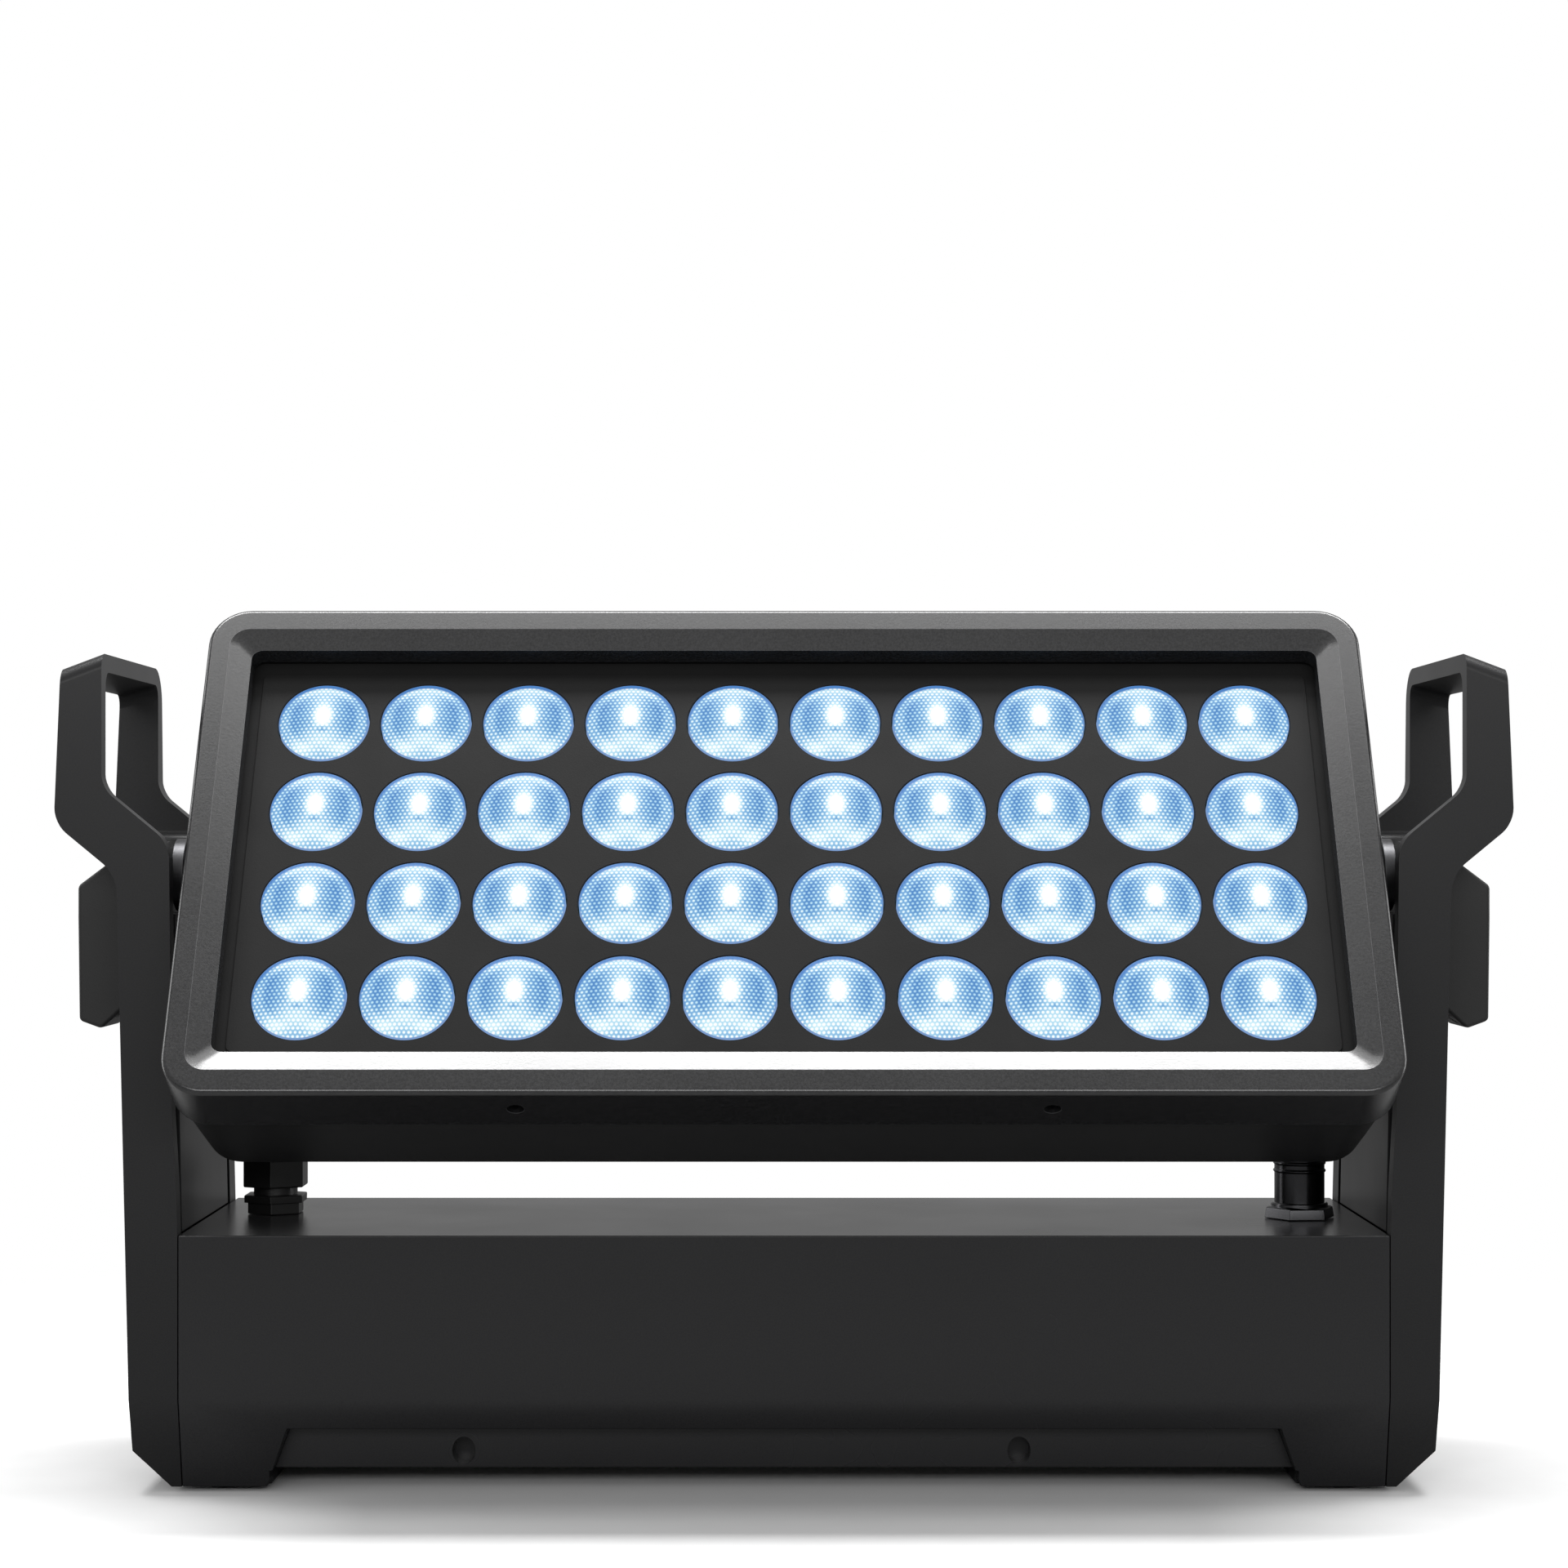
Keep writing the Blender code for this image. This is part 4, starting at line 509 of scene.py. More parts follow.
# %% Lit lens: colour
shades = node(tree, "ShaderNodeValToRGB", Fac=light.outputs[0])
stops = ((0.0, "#467ebe"), (0.28, "#74a6d6"), (0.52, "#9ecbea"), (0.74, "#cbeef8"), (0.94, "#ffffff"))
ramp = shades.color_ramp
while len(ramp.elements) < len(stops):
    ramp.elements.new(0.5)
for element, (position, colour) in zip(ramp.elements, stops):
    element.position = position
    element.color = linear(colour)
lowered = node(tree, "ShaderNodeVectorMath", {"operation": "ADD"}, _0=face.outputs[0], _1=(0.0, 0.08, 0.0))
reach = node(tree, "ShaderNodeVectorMath", {"operation": "LENGTH"}, _0=lowered.outputs[0])
near_top = node(tree, "ShaderNodeMapRange", SMOOTH, Value=reach.outputs["Value"], From_Min=0.93,
                From_Max=1.0)
crescent = node(tree, "ShaderNodeMix", RGBA, _0=near_top.outputs[0], _6=shades.outputs[0],
                _7=linear("#4e82c4"))
rim = node(tree, "ShaderNodeMapRange", SMOOTH, Value=from_middle, From_Min=0.975, From_Max=0.995)
rimmed = node(tree, "ShaderNodeMix", RGBA, _0=rim.outputs[0], _6=crescent.outputs[2], _7=linear("#7c9ccc"))
tree.links.new(rimmed.outputs[2], shader.inputs["Emission Color"])
shader.inputs["Emission Strength"].default_value = 1.0
shader.inputs["Base Color"].default_value = linear("#0c1a2a")
shader.inputs["Roughness"].default_value = 0.3
shader.inputs["Specular IOR Level"].default_value = 0.05
bumps = node(tree, "ShaderNodeBump", Strength=0.4, Distance=0.15 * MM, Height=cells.outputs[0])
tree.links.new(bumps.outputs[0], shader.inputs["Normal"])
print("lens material:", lens.name, len(tree.nodes), "nodes")

# %% [markdown]
# ## Bezel frame
# The frame in front of the lenses is an aluminium casting: a wide flat face, a shallow chamfer down to the
# opening, and a deep side wall. It starts as a box with rounded corners. Insets on the front make the flat
# and the chamfer, extrusions from both sides make the depth, and bridging the two openings makes it a closed
# ring.

# %% Bezel frame: measures
FIELD_Z = -17.4  # middle of the lens field, below the tilt axis
BEZEL_X, BEZEL_Z = 237.55, 113.05  # half its width and half its height
BEZEL_FRONT, BEZEL_BACK = -55.5, -29.5
BEZEL_CORNER, DRAIN_X = 17, 102.5
FLAT_SIDE, FLAT_TOP = 9.0, 10.2  # width of the flat at the sides, and at the top and the bottom
CHAMFER_WIDE, CHAMFER_DEEP = 3.5, 1.04
LIP_WIDE, LIP_DEEP = 5.6, 1.66  # the slope from the chamfer in to the lenses' mask
FRONT_WALL, REAR_WALL, REAR_THICK = 8.3, 15.0, 6.0
opening_x = BEZEL_X - FLAT_SIDE - CHAMFER_WIDE
opening_z = BEZEL_Z - FLAT_TOP - CHAMFER_WIDE
print("bezel opening", round(2 * opening_x, 1), "x", round(2 * opening_z, 1), "mm")

# %% Bezel frame: from the box to the closed ring
bezel = box("bezel", (-BEZEL_X, BEZEL_FRONT, FIELD_Z - BEZEL_Z), (BEZEL_X, BEZEL_BACK, FIELD_Z + BEZEL_Z))
round_edges(bezel, lambda edge: along(edge, "Y"), BEZEL_CORNER, 10)
pick(bezel, "FACE", lambda face: facing(face, "Y", -1))
bpy.ops.mesh.inset(thickness=FLAT_SIDE * MM)
bpy.ops.transform.resize(value=(1, 1, (BEZEL_Z - FLAT_TOP) / (BEZEL_Z - FLAT_SIDE)))
bpy.ops.mesh.inset(thickness=CHAMFER_WIDE * MM, depth=-CHAMFER_DEEP * MM)
bpy.ops.mesh.extrude_region_move(TRANSFORM_OT_translate={"value": (0, LIP_DEEP * MM, 0)})
bpy.ops.transform.resize(value=(1 - LIP_WIDE / opening_x, 1, 1 - LIP_WIDE / opening_z))
bpy.ops.mesh.extrude_region_move(TRANSFORM_OT_translate={"value": (0, FRONT_WALL * MM, 0)})
bpy.ops.mesh.delete(type="FACE")
pick(bezel, "FACE", lambda face: facing(face, "Y", 1) and centre(face).y > BEZEL_BACK - 0.5)
bpy.ops.mesh.inset(thickness=REAR_THICK * MM)
bpy.ops.mesh.extrude_region_move(TRANSFORM_OT_translate={"value": (0, -REAR_WALL * MM, 0)})
bpy.ops.mesh.delete(type="FACE")
pick(bezel, "EDGE", lambda edge: edge.is_boundary)
bpy.ops.mesh.bridge_edge_loops()
bpy.ops.object.mode_set(mode="OBJECT")
print("bezel ring:", len(bezel.data.polygons), "faces")


# %% Bezel frame: edges and drain holes
def on_front_rim(edge):
    inside_flat = all(facing(face, "Y", -1) for face in edge.link_faces)
    return centre(edge).y < BEZEL_FRONT + 0.1 and not inside_flat


round_edges(bezel, on_front_rim, 2.2, 8)
for x in (-DRAIN_X, DRAIN_X):
    hole = turned("drain", [(3.4, -12), (3.4, 12)], 32)
    combine(bezel, aim(hole, "Z", (x, (BEZEL_FRONT + BEZEL_BACK) / 2, FIELD_Z - BEZEL_Z)))
# The bevels get the lighter second coat: a painted highlight along the frame's edges and creases.
bezel.data.materials.append(bezel_coat)
bezel.data.materials.append(bezel_edge_highlight)
soften(bezel, 0.5, 3, 14, material=1)
finish(bezel, "head", bezel_coat, ["bezel_frame"], in_head=True)

# %% [markdown]
# ## Lens mask
# A dark plate fills the frame, with a slightly raised field and a round hole for each lens. One cutter,
# repeated by two arrays, makes all forty holes in one Boolean; its flared mouth leaves a fine chamfer that
# catches the light.

# %% Lens mask
PITCH_X, PITCH_Z = 42.0, 43.0
COLUMNS, ROWS = 10, 4
MASK_X, MASK_Z = 231.2, 106.7  # half sizes of the plate
RAISED_X, RAISED_Z = 215.75, 88.65  # half sizes of the raised field on it
MASK_FACE = -42.9
HOLE_RADIUS, MOUTH_RADIUS = LENS_RADIUS + 0.35, LENS_RADIUS + 0.7
mask = box("mask", (-MASK_X, MASK_FACE + 0.8, FIELD_Z - MASK_Z), (MASK_X, MASK_FACE + 3.0, FIELD_Z + MASK_Z))
round_edges(mask, lambda edge: along(edge, "Y"), 10.7, 6)
field = box("field", (-RAISED_X, MASK_FACE, FIELD_Z - RAISED_Z),
            (RAISED_X, MASK_FACE + 1.9, FIELD_Z + RAISED_Z))
round_edges(field, lambda edge: along(edge, "Y"), 3, 4)
round_edges(field, lambda edge: centre(edge).y < MASK_FACE + 0.1, 0.4, 2)
combine(mask, field, "UNION")
hole_outline = [(HOLE_RADIUS, -8), (HOLE_RADIUS, 0.6), (MOUTH_RADIUS, 0.92), (MOUTH_RADIUS, 8)]
hole = turned("lens_hole", hole_outline, 72)
aim(hole, "-Y", (-PITCH_X * (COLUMNS - 1) / 2, MASK_FACE + 0.9, FIELD_Z - PITCH_Z * (ROWS - 1) / 2))
modify(hole, "ARRAY", count=COLUMNS, use_relative_offset=False, use_constant_offset=True,
       constant_offset_displace=(PITCH_X * MM, 0, 0))
modify(hole, "ARRAY", count=ROWS, use_relative_offset=False, use_constant_offset=True,
       constant_offset_displace=(0, 0, PITCH_Z * MM))
combine(mask, hole)
finish(mask, "head", mask_nylon, ["lens_mask"], in_head=True)

# %% [markdown]
# ## Lenses
# A lens is a low dome on a short cylinder. One is turned, gets its round UV map from the place of its
# corners, and is copied ten times along each strip. The strip's own block stays behind the mask, out of
# sight.

# %% One lens
DOME_FOOT, DOME_RISE = 0.35, 3.0
dome = [(LENS_RADIUS, -6.0), (LENS_RADIUS, DOME_FOOT)]
for step in range(1, 9):
    share = 1 - step / 8.6
    dome.append((LENS_RADIUS * share, DOME_FOOT + DOME_RISE * (1 - share ** 2)))
one_lens = turned("lens", dome, 72)
round_edges(one_lens, lambda edge: abs(centre(edge).z - DOME_FOOT) < 0.01 and not along(edge, "Z"), 0.4, 3)
layer = one_lens.data.uv_layers.new(name="lens_face")
for corner in one_lens.data.loops:
    point = one_lens.data.vertices[corner.vertex_index].co / (LENS_RADIUS * MM)
    layer.data[corner.index].uv = (0.5 + point.x / 2, 0.5 + point.y / 2)
print("lens:", len(one_lens.data.polygons), "faces")

# %% Four strips of lenses
for row in range(ROWS):
    z = FIELD_Z + PITCH_Z * (row - (ROWS - 1) / 2)
    strip = []
    for column in range(COLUMNS):
        twin = copy_of(one_lens, "lens_row_%d" % (row + 1))
        strip.append(aim(twin, "-Y", (PITCH_X * (column - (COLUMNS - 1) / 2), MASK_FACE, z)))
    finish(join(strip), "head", lens, ["lens_strip_%d" % (row + 1)], in_head=True)
bpy.data.objects.remove(one_lens, do_unlink=True)

# %% [markdown]
# ## Rear housing and cover
# Behind the frame the head is a cast tub that gets lower towards the back. The box is rounded, its back is
# scaled in height, and its front and the middle of its back are deleted. Solidify then gives the shell its
# wall. The cover behind it is a plate with round-ended slots, as long as the fan's circle is high there.

# %% Rear housing
SEAT = 0.3  # pieces that rest on each other lie this far apart
HOUSING_X, HOUSING_Z, HOUSING_BACK_Z = 235.95, 111.45, 94.95  # half sizes, the last one at its back
HOUSING_FRONT, HOUSING_BACK = BEZEL_BACK + SEAT, 41.1
BACK_RIM = 12.9  # what is left of the back round the rear cover
housing = box("housing", (-HOUSING_X, HOUSING_FRONT, FIELD_Z - HOUSING_Z),
              (HOUSING_X, HOUSING_BACK, FIELD_Z + HOUSING_Z))
pick(housing, "FACE", lambda face: facing(face, "Y", 1))
bpy.ops.transform.resize(value=(1, 1, HOUSING_BACK_Z / HOUSING_Z))
bpy.ops.object.mode_set(mode="OBJECT")
round_edges(housing, lambda edge: along(edge, "Y"), 16, 10)
round_edges(housing, lambda edge: centre(edge).y > HOUSING_BACK - 0.1, 3.1, 4)
pick(housing, "FACE", lambda face: facing(face, "Y", 1) and centre(face).y > HOUSING_BACK - 0.1)
bpy.ops.mesh.inset(thickness=BACK_RIM * MM)
bpy.ops.mesh.delete(type="FACE")
pick(housing, "FACE", lambda face: facing(face, "Y", -1))
bpy.ops.mesh.delete(type="FACE")
bpy.ops.object.mode_set(mode="OBJECT")
modify(housing, "SOLIDIFY", thickness=3.5 * MM, offset=-1.0, use_even_offset=True)
finish(housing, "head", black_coat, ["rear_housing"], in_head=True)

# %% Rear cover with fan slots
COVER_X, COVER_Z = 224.9, 83.9
COVER_FRONT = HOUSING_BACK + SEAT
COVER_BACK = COVER_FRONT + 3.0
FAN_PITCH, FAN_RADIUS, SLOT_PITCH, SLOT_HALF = 132, 43.5, 11, 2.75
cover = box("back_cover", (-COVER_X, COVER_FRONT, FIELD_Z - COVER_Z),
            (COVER_X, COVER_BACK, FIELD_Z + COVER_Z))
round_edges(cover, lambda edge: along(edge, "Y"), 12, 8)
for fan_x in (-FAN_PITCH, 0, FAN_PITCH):
    for index in range(-3, 4):
        x = fan_x + SLOT_PITCH * index
        half = math.sqrt(FAN_RADIUS ** 2 - (SLOT_PITCH * index) ** 2) - SLOT_HALF
        slot = box("slot", (x - SLOT_HALF, 38, FIELD_Z - half), (x + SLOT_HALF, 48, FIELD_Z + half))
        round_edges(slot, lambda edge: along(edge, "Y"), SLOT_HALF - 0.15, 5)
        combine(cover, slot)
soften(cover, 0.5, 2)
finish(cover, "head", black_coat, ["rear_cover"], in_head=True)

# %% [markdown]
# ## Screws
# The rear cover and the rear panel are held by pan-head screws with a six-sided recess. One screw is turned
# and cut once, and its copies are joined to one piece for each panel.

# %% Screws
one_screw = turned("screw", [(3.4, 0), (3.4, 1.4), (2.6, 2.1), (1.2, 2.3)], 32)
socket = turned("recess", [(1.7, 0.9), (1.7, 4)], 6)
combine(one_screw, socket)
soften(one_screw, 0.2, 2)


def screws(name, body, places, towards, in_head=False):
    row = [aim(copy_of(one_screw, name), towards, place) for place in places]
    finish(join(row), body, zinc_steel, in_head=in_head)


cover_places = [(x, COVER_BACK, FIELD_Z + z) for x in (-214, -70, 70, 214) for z in (-75, 75)]
screws("cover_screws", "head", cover_places, "Y", in_head=True)

# %% [markdown]
# ## Hubs
# The head hangs on two turned aluminium hubs: a flange on the head, a neck, and a wide disc against the arm.
# Their crisp edges are what catches the light between head and arm.

# %% Hubs
hub_outline = [(21, SEAT), (21, 3.3), (11.5, 3.3), (11.5, 6.5), (12.5, 7.2), (12.5, 10.4), (15, 10.4),
               (15, 15.3), (12, 15.3), (12, 14.6), (6, 14.6)]
for word, outward, x in (("right", "X", HOUSING_X), ("left", "-X", -HOUSING_X)):
    hub = turned("tilt_hub_" + word, hub_outline, 72)
    aim(hub, outward, (x, 0, 0))
    soften(hub, 0.6, 3)
    finish(hub, "head", hub_aluminium, ["hub_" + word], in_head=True)

# %% [markdown]
# ## Base housing
# The base is one long casting. Its lower edge slopes back at the toes, and the middle of the lower front is
# set back between two foot blocks. A box is extruded downwards and narrowed for the toes; the set-back middle
# is cut with a tapered box, and the two drain holes in it with stretched cylinders.

# %% Base housing: body and toes
BASE_X, BASE_FRONT, BASE_BACK, BASE_TOP = 242.05, -48, 92, 103.6
BASE_FOOT, TOE_TOP, TOE_BACK = 1.5, 38, 9.5  # below the toe's top the base gets 9.5 mm less at each side
base = box("base", (-BASE_X, BASE_FRONT, TOE_TOP), (BASE_X, BASE_BACK, BASE_TOP))
pick(base, "FACE", lambda face: facing(face, "Z", -1))
bpy.ops.mesh.extrude_region_move(TRANSFORM_OT_translate={"value": (0, 0, (BASE_FOOT - TOE_TOP) * MM)})
bpy.ops.transform.resize(value=(1, 1 - 2 * TOE_BACK / (BASE_BACK - BASE_FRONT), 1))
bpy.ops.object.mode_set(mode="OBJECT")
print("base body", [round(v, 1) for v in (2 * BASE_X, BASE_BACK - BASE_FRONT, BASE_TOP - BASE_FOOT)], "mm")

# %% Base housing: recesses and drain holes
RECESS_X, RECESS_TOP_X, RECESS_TOP = 209.0, 199.0, 25.8
RECESS_FRONT, RECESS_BACK = -32.4, 76.4
RECESS_DRAINS = ((-129.4, 14.9), (95, 14.9))
for front, back in ((-60, RECESS_FRONT), (RECESS_BACK, 100)):
    recess = box("recess", (-RECESS_X, front, -1), (RECESS_X, back, RECESS_TOP))
    pick(recess, "FACE", lambda face: facing(face, "Z", 1))
    bpy.ops.transform.resize(value=(RECESS_TOP_X / RECESS_X, 1, 1))
    bpy.ops.object.mode_set(mode="OBJECT")
    combine(base, recess)
combine(base, box("underside", (-206.9, -60, -1), (206.9, 100, 8)))
soften(base, 1.3, 4)
for x, z in RECESS_DRAINS:
    hole = turned("drain", [(4.7, -11), (4.7, 8)], 40)
    hole.scale.y = 1.2
    combine(base, aim(hole, "-Y", (x, RECESS_FRONT, z)))
finish(base, "base", base_coat, ["base_housing"])

# %% [markdown]
# ## Arms
# Each arm is a hollow casting: a leaning post, an outward bend, and a hand grip. It is pushed up from its
# foot, one section at a time: the top face is extruded, and each of its four corners is moved to the next
# place. The edges along the bend are rounded next, then the pocket and the hand hole are cut, and a bevel
# softens every edge. Above the bend the pocket is shallower, so that it doesn't break into the hand hole.

# %% Sections of the arm
TOE_SLOPE = TOE_BACK / 37.5
ARM_BACK = 88
BACK_LEAN = 12 / 217.4  # above the base the arm's back leans forward


def front_at(z):
    return BASE_FRONT + max(0, TOE_TOP - z) * TOE_SLOPE


def back_at(z):
    if z < TOE_TOP:
        return ARM_BACK - (TOE_TOP - z) * TOE_SLOPE
    return ARM_BACK - max(0, z - 120) * BACK_LEAN


# Each section has the x and z of its inner edge and of its outer edge.
sections = [
    ((242.35, 1.5), (246.35, 1.5)),
    ((242.35, 16.7), (261.35, 16.7)),
    ((242.35, 38), (261.84, 38)),
    ((242.35, 103.6), (263.34, 103.6)),
    ((242.75, 120), (263.72, 120)),
    ((244.75, 158.2), (264.6, 158.2)),
    ((245.65, 260.3), (266.65, 247.7)),
    ((272.65, 282.6), (291.7, 268.4)),
    ((272.65, 336.4), (289.05, 330.2)),
]


def corner_places(section):
    (inner_x, inner_z), (outer_x, outer_z) = section
    return [
        (inner_x, front_at(inner_z), inner_z), (outer_x, front_at(outer_z), outer_z),
        (outer_x, back_at(outer_z), outer_z), (inner_x, back_at(inner_z), inner_z),
    ]


print(len(sections), "sections from foot to grip")

# %% Push the arm up
corners = [Vector(place) for place in corner_places(sections[0])]
deselect()
bpy.ops.mesh.primitive_plane_add(size=1, location=sum(corners, Vector()) / 4 * MM)
arm = bpy.context.active_object
arm.name = "arm_casting_right"
arm.scale = ((corners[2] - corners[0]) * MM).xy.to_3d() + Vector((0, 0, 1))
bake_place(arm)
for section in sections[1:]:
    middle = sum(corners, Vector()) / 4
    pick(arm, "FACE", lambda face: (centre(face) - middle).length < 0.1)
    bpy.ops.mesh.extrude_region_move(TRANSFORM_OT_translate={"value": (0, 0, 1 * MM)})
    targets = [Vector(place) for place in corner_places(section)]
    for corner, target in zip(corners, targets):
        start = corner + Vector((0, 0, 1))
        pick(arm, "VERT", lambda vert: (vert.co / MM - start).length < 0.1)
        bpy.ops.transform.translate(value=(target - start) * MM)
    corners = targets
face_outward(arm)
print("arm pushed up to", round(max(vert.co.z for vert in arm.data.vertices) / MM, 1), "mm")

# %% Round the bend and the grip's ends
def at(edge, x, z):
    place = centre(edge)
    return along(edge, "Y") and abs(place.x - x) < 0.2 and abs(place.z - z) < 0.2


def on_grip_end(edge, front):
    place = centre(edge)
    beyond = place.y < BASE_FRONT + 1 if front else place.y > 74
    return place.z > 326 and beyond and not along(edge, "Z")


bend, grip_foot = sections[6], sections[7]
for (x, z), radius in ((bend[0], 6.2), (grip_foot[0], 5.4), (bend[1], 7.0), (grip_foot[1], 6.2)):
    round_edges(arm, lambda edge: at(edge, x, z), radius, 6)
round_edges(arm, lambda edge: on_grip_end(edge, front=True), 6.0, 6)
round_edges(arm, lambda edge: on_grip_end(edge, front=False), 14.0, 10)
print("arm:", len(arm.data.polygons), "faces")

# %% Pocket
HOLE_FRONT, HOLE_BACK, HOLE_FLOOR, HOLE_TOP = -40, 68, 262.3, 337.6
POCKET_DEEP = 258.65  # the inside of the arm's outer wall
for low, back, high in ((12, 74, 246), (230, HOLE_BACK, 267.3)):
    pocket = box("pocket", (230, HOLE_FRONT, low), (POCKET_DEEP, back, high))
    round_edges(pocket, lambda edge: along(edge, "X"), 2.5, 4)
    combine(arm, pocket)
print("arm with its pocket:", len(arm.data.polygons), "faces")

# %% Hand hole
window = box("hand_hole", (236, HOLE_FRONT, HOLE_FLOOR), (304, HOLE_BACK, HOLE_TOP))
for outer, rise in ((True, -16.2), (False, 0.8)):
    pick(window, "VERT", lambda vert: vert.co.z > 0.3 and (vert.co.x > 0.3) == outer)
    bpy.ops.transform.translate(value=(0, 0, rise * MM))
    bpy.ops.object.mode_set(mode="OBJECT")
round_edges(window, lambda edge: along(edge, "X") and centre(edge).z < HOLE_FLOOR + 1, 4.0, 5)
round_edges(window, lambda edge: centre(edge).z > 300 and not along(edge, "Y") and not along(edge, "Z"),
            6.0, 6)
combine(arm, window)
print("hand hole", HOLE_BACK - HOLE_FRONT, "mm deep and", round(HOLE_TOP - HOLE_FLOOR, 1), "mm high")

# %% Boss, coat and the other arm
boss = turned("boss", [(14, 0), (14, 6)], 48)
combine(arm, aim(boss, "X", (254.3, 0, PIVOT.z / MM)), "UNION")
# The bevels get the lighter, glossier second coat: a painted highlight along the arm's edges.
arm.data.materials.append(arm_coat)
arm.data.materials.append(arm_edge_highlight)
soften(arm, 0.9, 3, 25, profile=0.3, material=1)
other_arm = mirrored(arm, "arm_casting_left")
finish(arm, "base", arm_coat, ["arm_right"])
finish(other_arm, "base", arm_coat, ["arm_left"])

# %% [markdown]
# ## Levers
# A lever lies along the outer side of each arm and flips out to free the tilt. It is a nylon moulding: a
# block that bisecting planes slope at the top and the foot, hollowed behind for the fingertips, with every
# edge rounded.

# %% Levers: the sloped block
lever = box("tilt_lever_right", (267.55, -19, 184.5), (288.55, 19, 253.0))
# Each plane has a point on it and the direction in which the nylon is cut away.
planes = (
    ((272.05, 0, 250.3), (-0.82, 0, 0.57)),
    ((272.05, 0, 250.3), (-0.491, 0, 0.871)),
    ((275.95, 0, 252.5), (0.602, 0, 0.798)),
    ((288.55, 0, 242.8), (1, 0, 0.016)),
    ((287.55, 0, 187.5), (0.35, 0, -0.94)),
    ((275.1, 0, 188.5), (-0.664, 0, -0.747)),
    ((0, 19, 230), (0, 1, -0.056)),
    ((0, -19, 230), (0, -1, -0.056)),
)
for point, normal in planes:
    pick(lever, "FACE", lambda face: True)
    bpy.ops.mesh.bisect(plane_co=Vector(point) * MM, plane_no=normal, use_fill=True, clear_outer=True)
bpy.ops.object.mode_set(mode="OBJECT")
print("lever block:", len(lever.data.polygons), "faces")

# %% Levers: hollow, slot and finish
combine(lever, box("hollow", (260, -13.5, 180), (273.55, 13.5, 222)))
combine(lever, box("slot", (262, -4.4, 238.8), (282.1, 4.4, 258)))
soften(lever, 1.6, 4, 25)
other_lever = mirrored(lever, "tilt_lever_left")
finish(lever, "lever_right_body", lever_nylon, ["lever_right"])
finish(other_lever, "lever_left_body", lever_nylon, ["lever_left"])

# %% [markdown]
# ## Cable glands
# Two glands of different make stand on the base's top, for the cable up to the head. Left, in black nylon: a
# six-sided cap nut on a neck, over a six-sided body with a flange. Right, in plated brass: a smooth barrel in
# black nickel with two fine ribs, on a thin nut in plain nickel whose sides taper and catch the light. A
# six-sided turned piece makes each nut.

# %% Left gland
GLAND_X, LEFT_GLAND_Y, RIGHT_GLAND_Y = 216, 34, 15
GLAND_FOOT = BASE_TOP + SEAT
core = [(9.2, 0), (9.2, 13.0), (12.0, 20.0), (9.0, 23.3), (9.0, 24.4), (7.8, 26.0), (6.6, 25.4), (3, 25.2)]
six_sided = {
    "body": [(12.5, 0), (12.5, 4.8)],
    "flange": [(14.1, 4.6), (14.2, 7.4), (13.9, 7.8)],
    "cap": [(14.1, 11.1), (14.5, 11.6), (14.5, 22.4), (13.2, 23.3)],
}
gland = turned("gland_left", core, 56)
for name, profile in six_sided.items():
    combine(gland, turned(name, profile, 6), "UNION")
aim(gland, "Z", (-GLAND_X, LEFT_GLAND_Y, GLAND_FOOT))
soften(gland, 0.4, 3)
finish(gland, "base", gland_nylon, ["cable_gland_left"])

# %% Right gland
ribs = [(10.4, 3)]
for level in (19.0, 22.2):
    ribs += [(10.4, level), (10.9, level + 0.4), (10.9, level + 1.0), (10.4, level + 1.4)]
ribs += [(10.4, 24.8), (9.4, 26.0), (7.4, 26.0), (6.6, 25.2), (3, 25.0)]
gland = turned("gland_right", ribs, 64)
aim(gland, "Z", (GLAND_X, RIGHT_GLAND_Y, GLAND_FOOT))
soften(gland, 0.2, 2)
nut = turned("gland_nut_right", [(15.0, 0), (14.3, 4.2), (13.0, 4.8)], 6)
combine(nut, turned("collar", [(11.8, 2), (11.8, 6.0), (11.2, 6.5)], 48), "UNION")
nut.rotation_euler.z = math.radians(36)
nut.location = Vector((GLAND_X, RIGHT_GLAND_Y, GLAND_FOOT)) * MM
bake_place(nut)
soften(nut, 0.3, 2)
finish(gland, "base", gland_black, ["cable_gland_right"])
finish(nut, "base", gland_nickel, ["cable_gland_right"])

# %% [markdown]
# ## Rear panel and connectors
# The back of the base carries a screwed panel with a menu and four chassis connectors. Each connector is a
# square flange with a deep round barrel. The power pair has three pins in it, and the data pair has five.

# %% Rear panel
PANEL_X, PANEL_MID, PANEL_HALF = 239.05, 70.8, 30.55
PANEL_FOOT = BASE_BACK + SEAT
PANEL_FACE = PANEL_FOOT + 2.5
BUTTONS_X, BUTTON_PITCH = -84, 15
panel = box("back_panel", (-PANEL_X, PANEL_FOOT, PANEL_MID - PANEL_HALF),
            (PANEL_X, PANEL_FACE, PANEL_MID + PANEL_HALF))
round_edges(panel, lambda edge: along(edge, "Y"), 4, 5)
for index in range(4):
    x = BUTTONS_X + BUTTON_PITCH * (index - 1.5)
    combine(panel, aim(turned("button_hole", [(4.55, -6), (4.55, 6)], 32), "Y", (x, 94, PANEL_MID)))
soften(panel, 0.4, 2)
finish(panel, "base", black_coat, ["rear_panel"])
panel_places = [(x, PANEL_FACE, z) for x in (-230, -30, 30, 230) for z in (46.5, 95)]
screws("panel_screws", "base", panel_places, "Y")
bpy.data.objects.remove(one_screw, do_unlink=True)

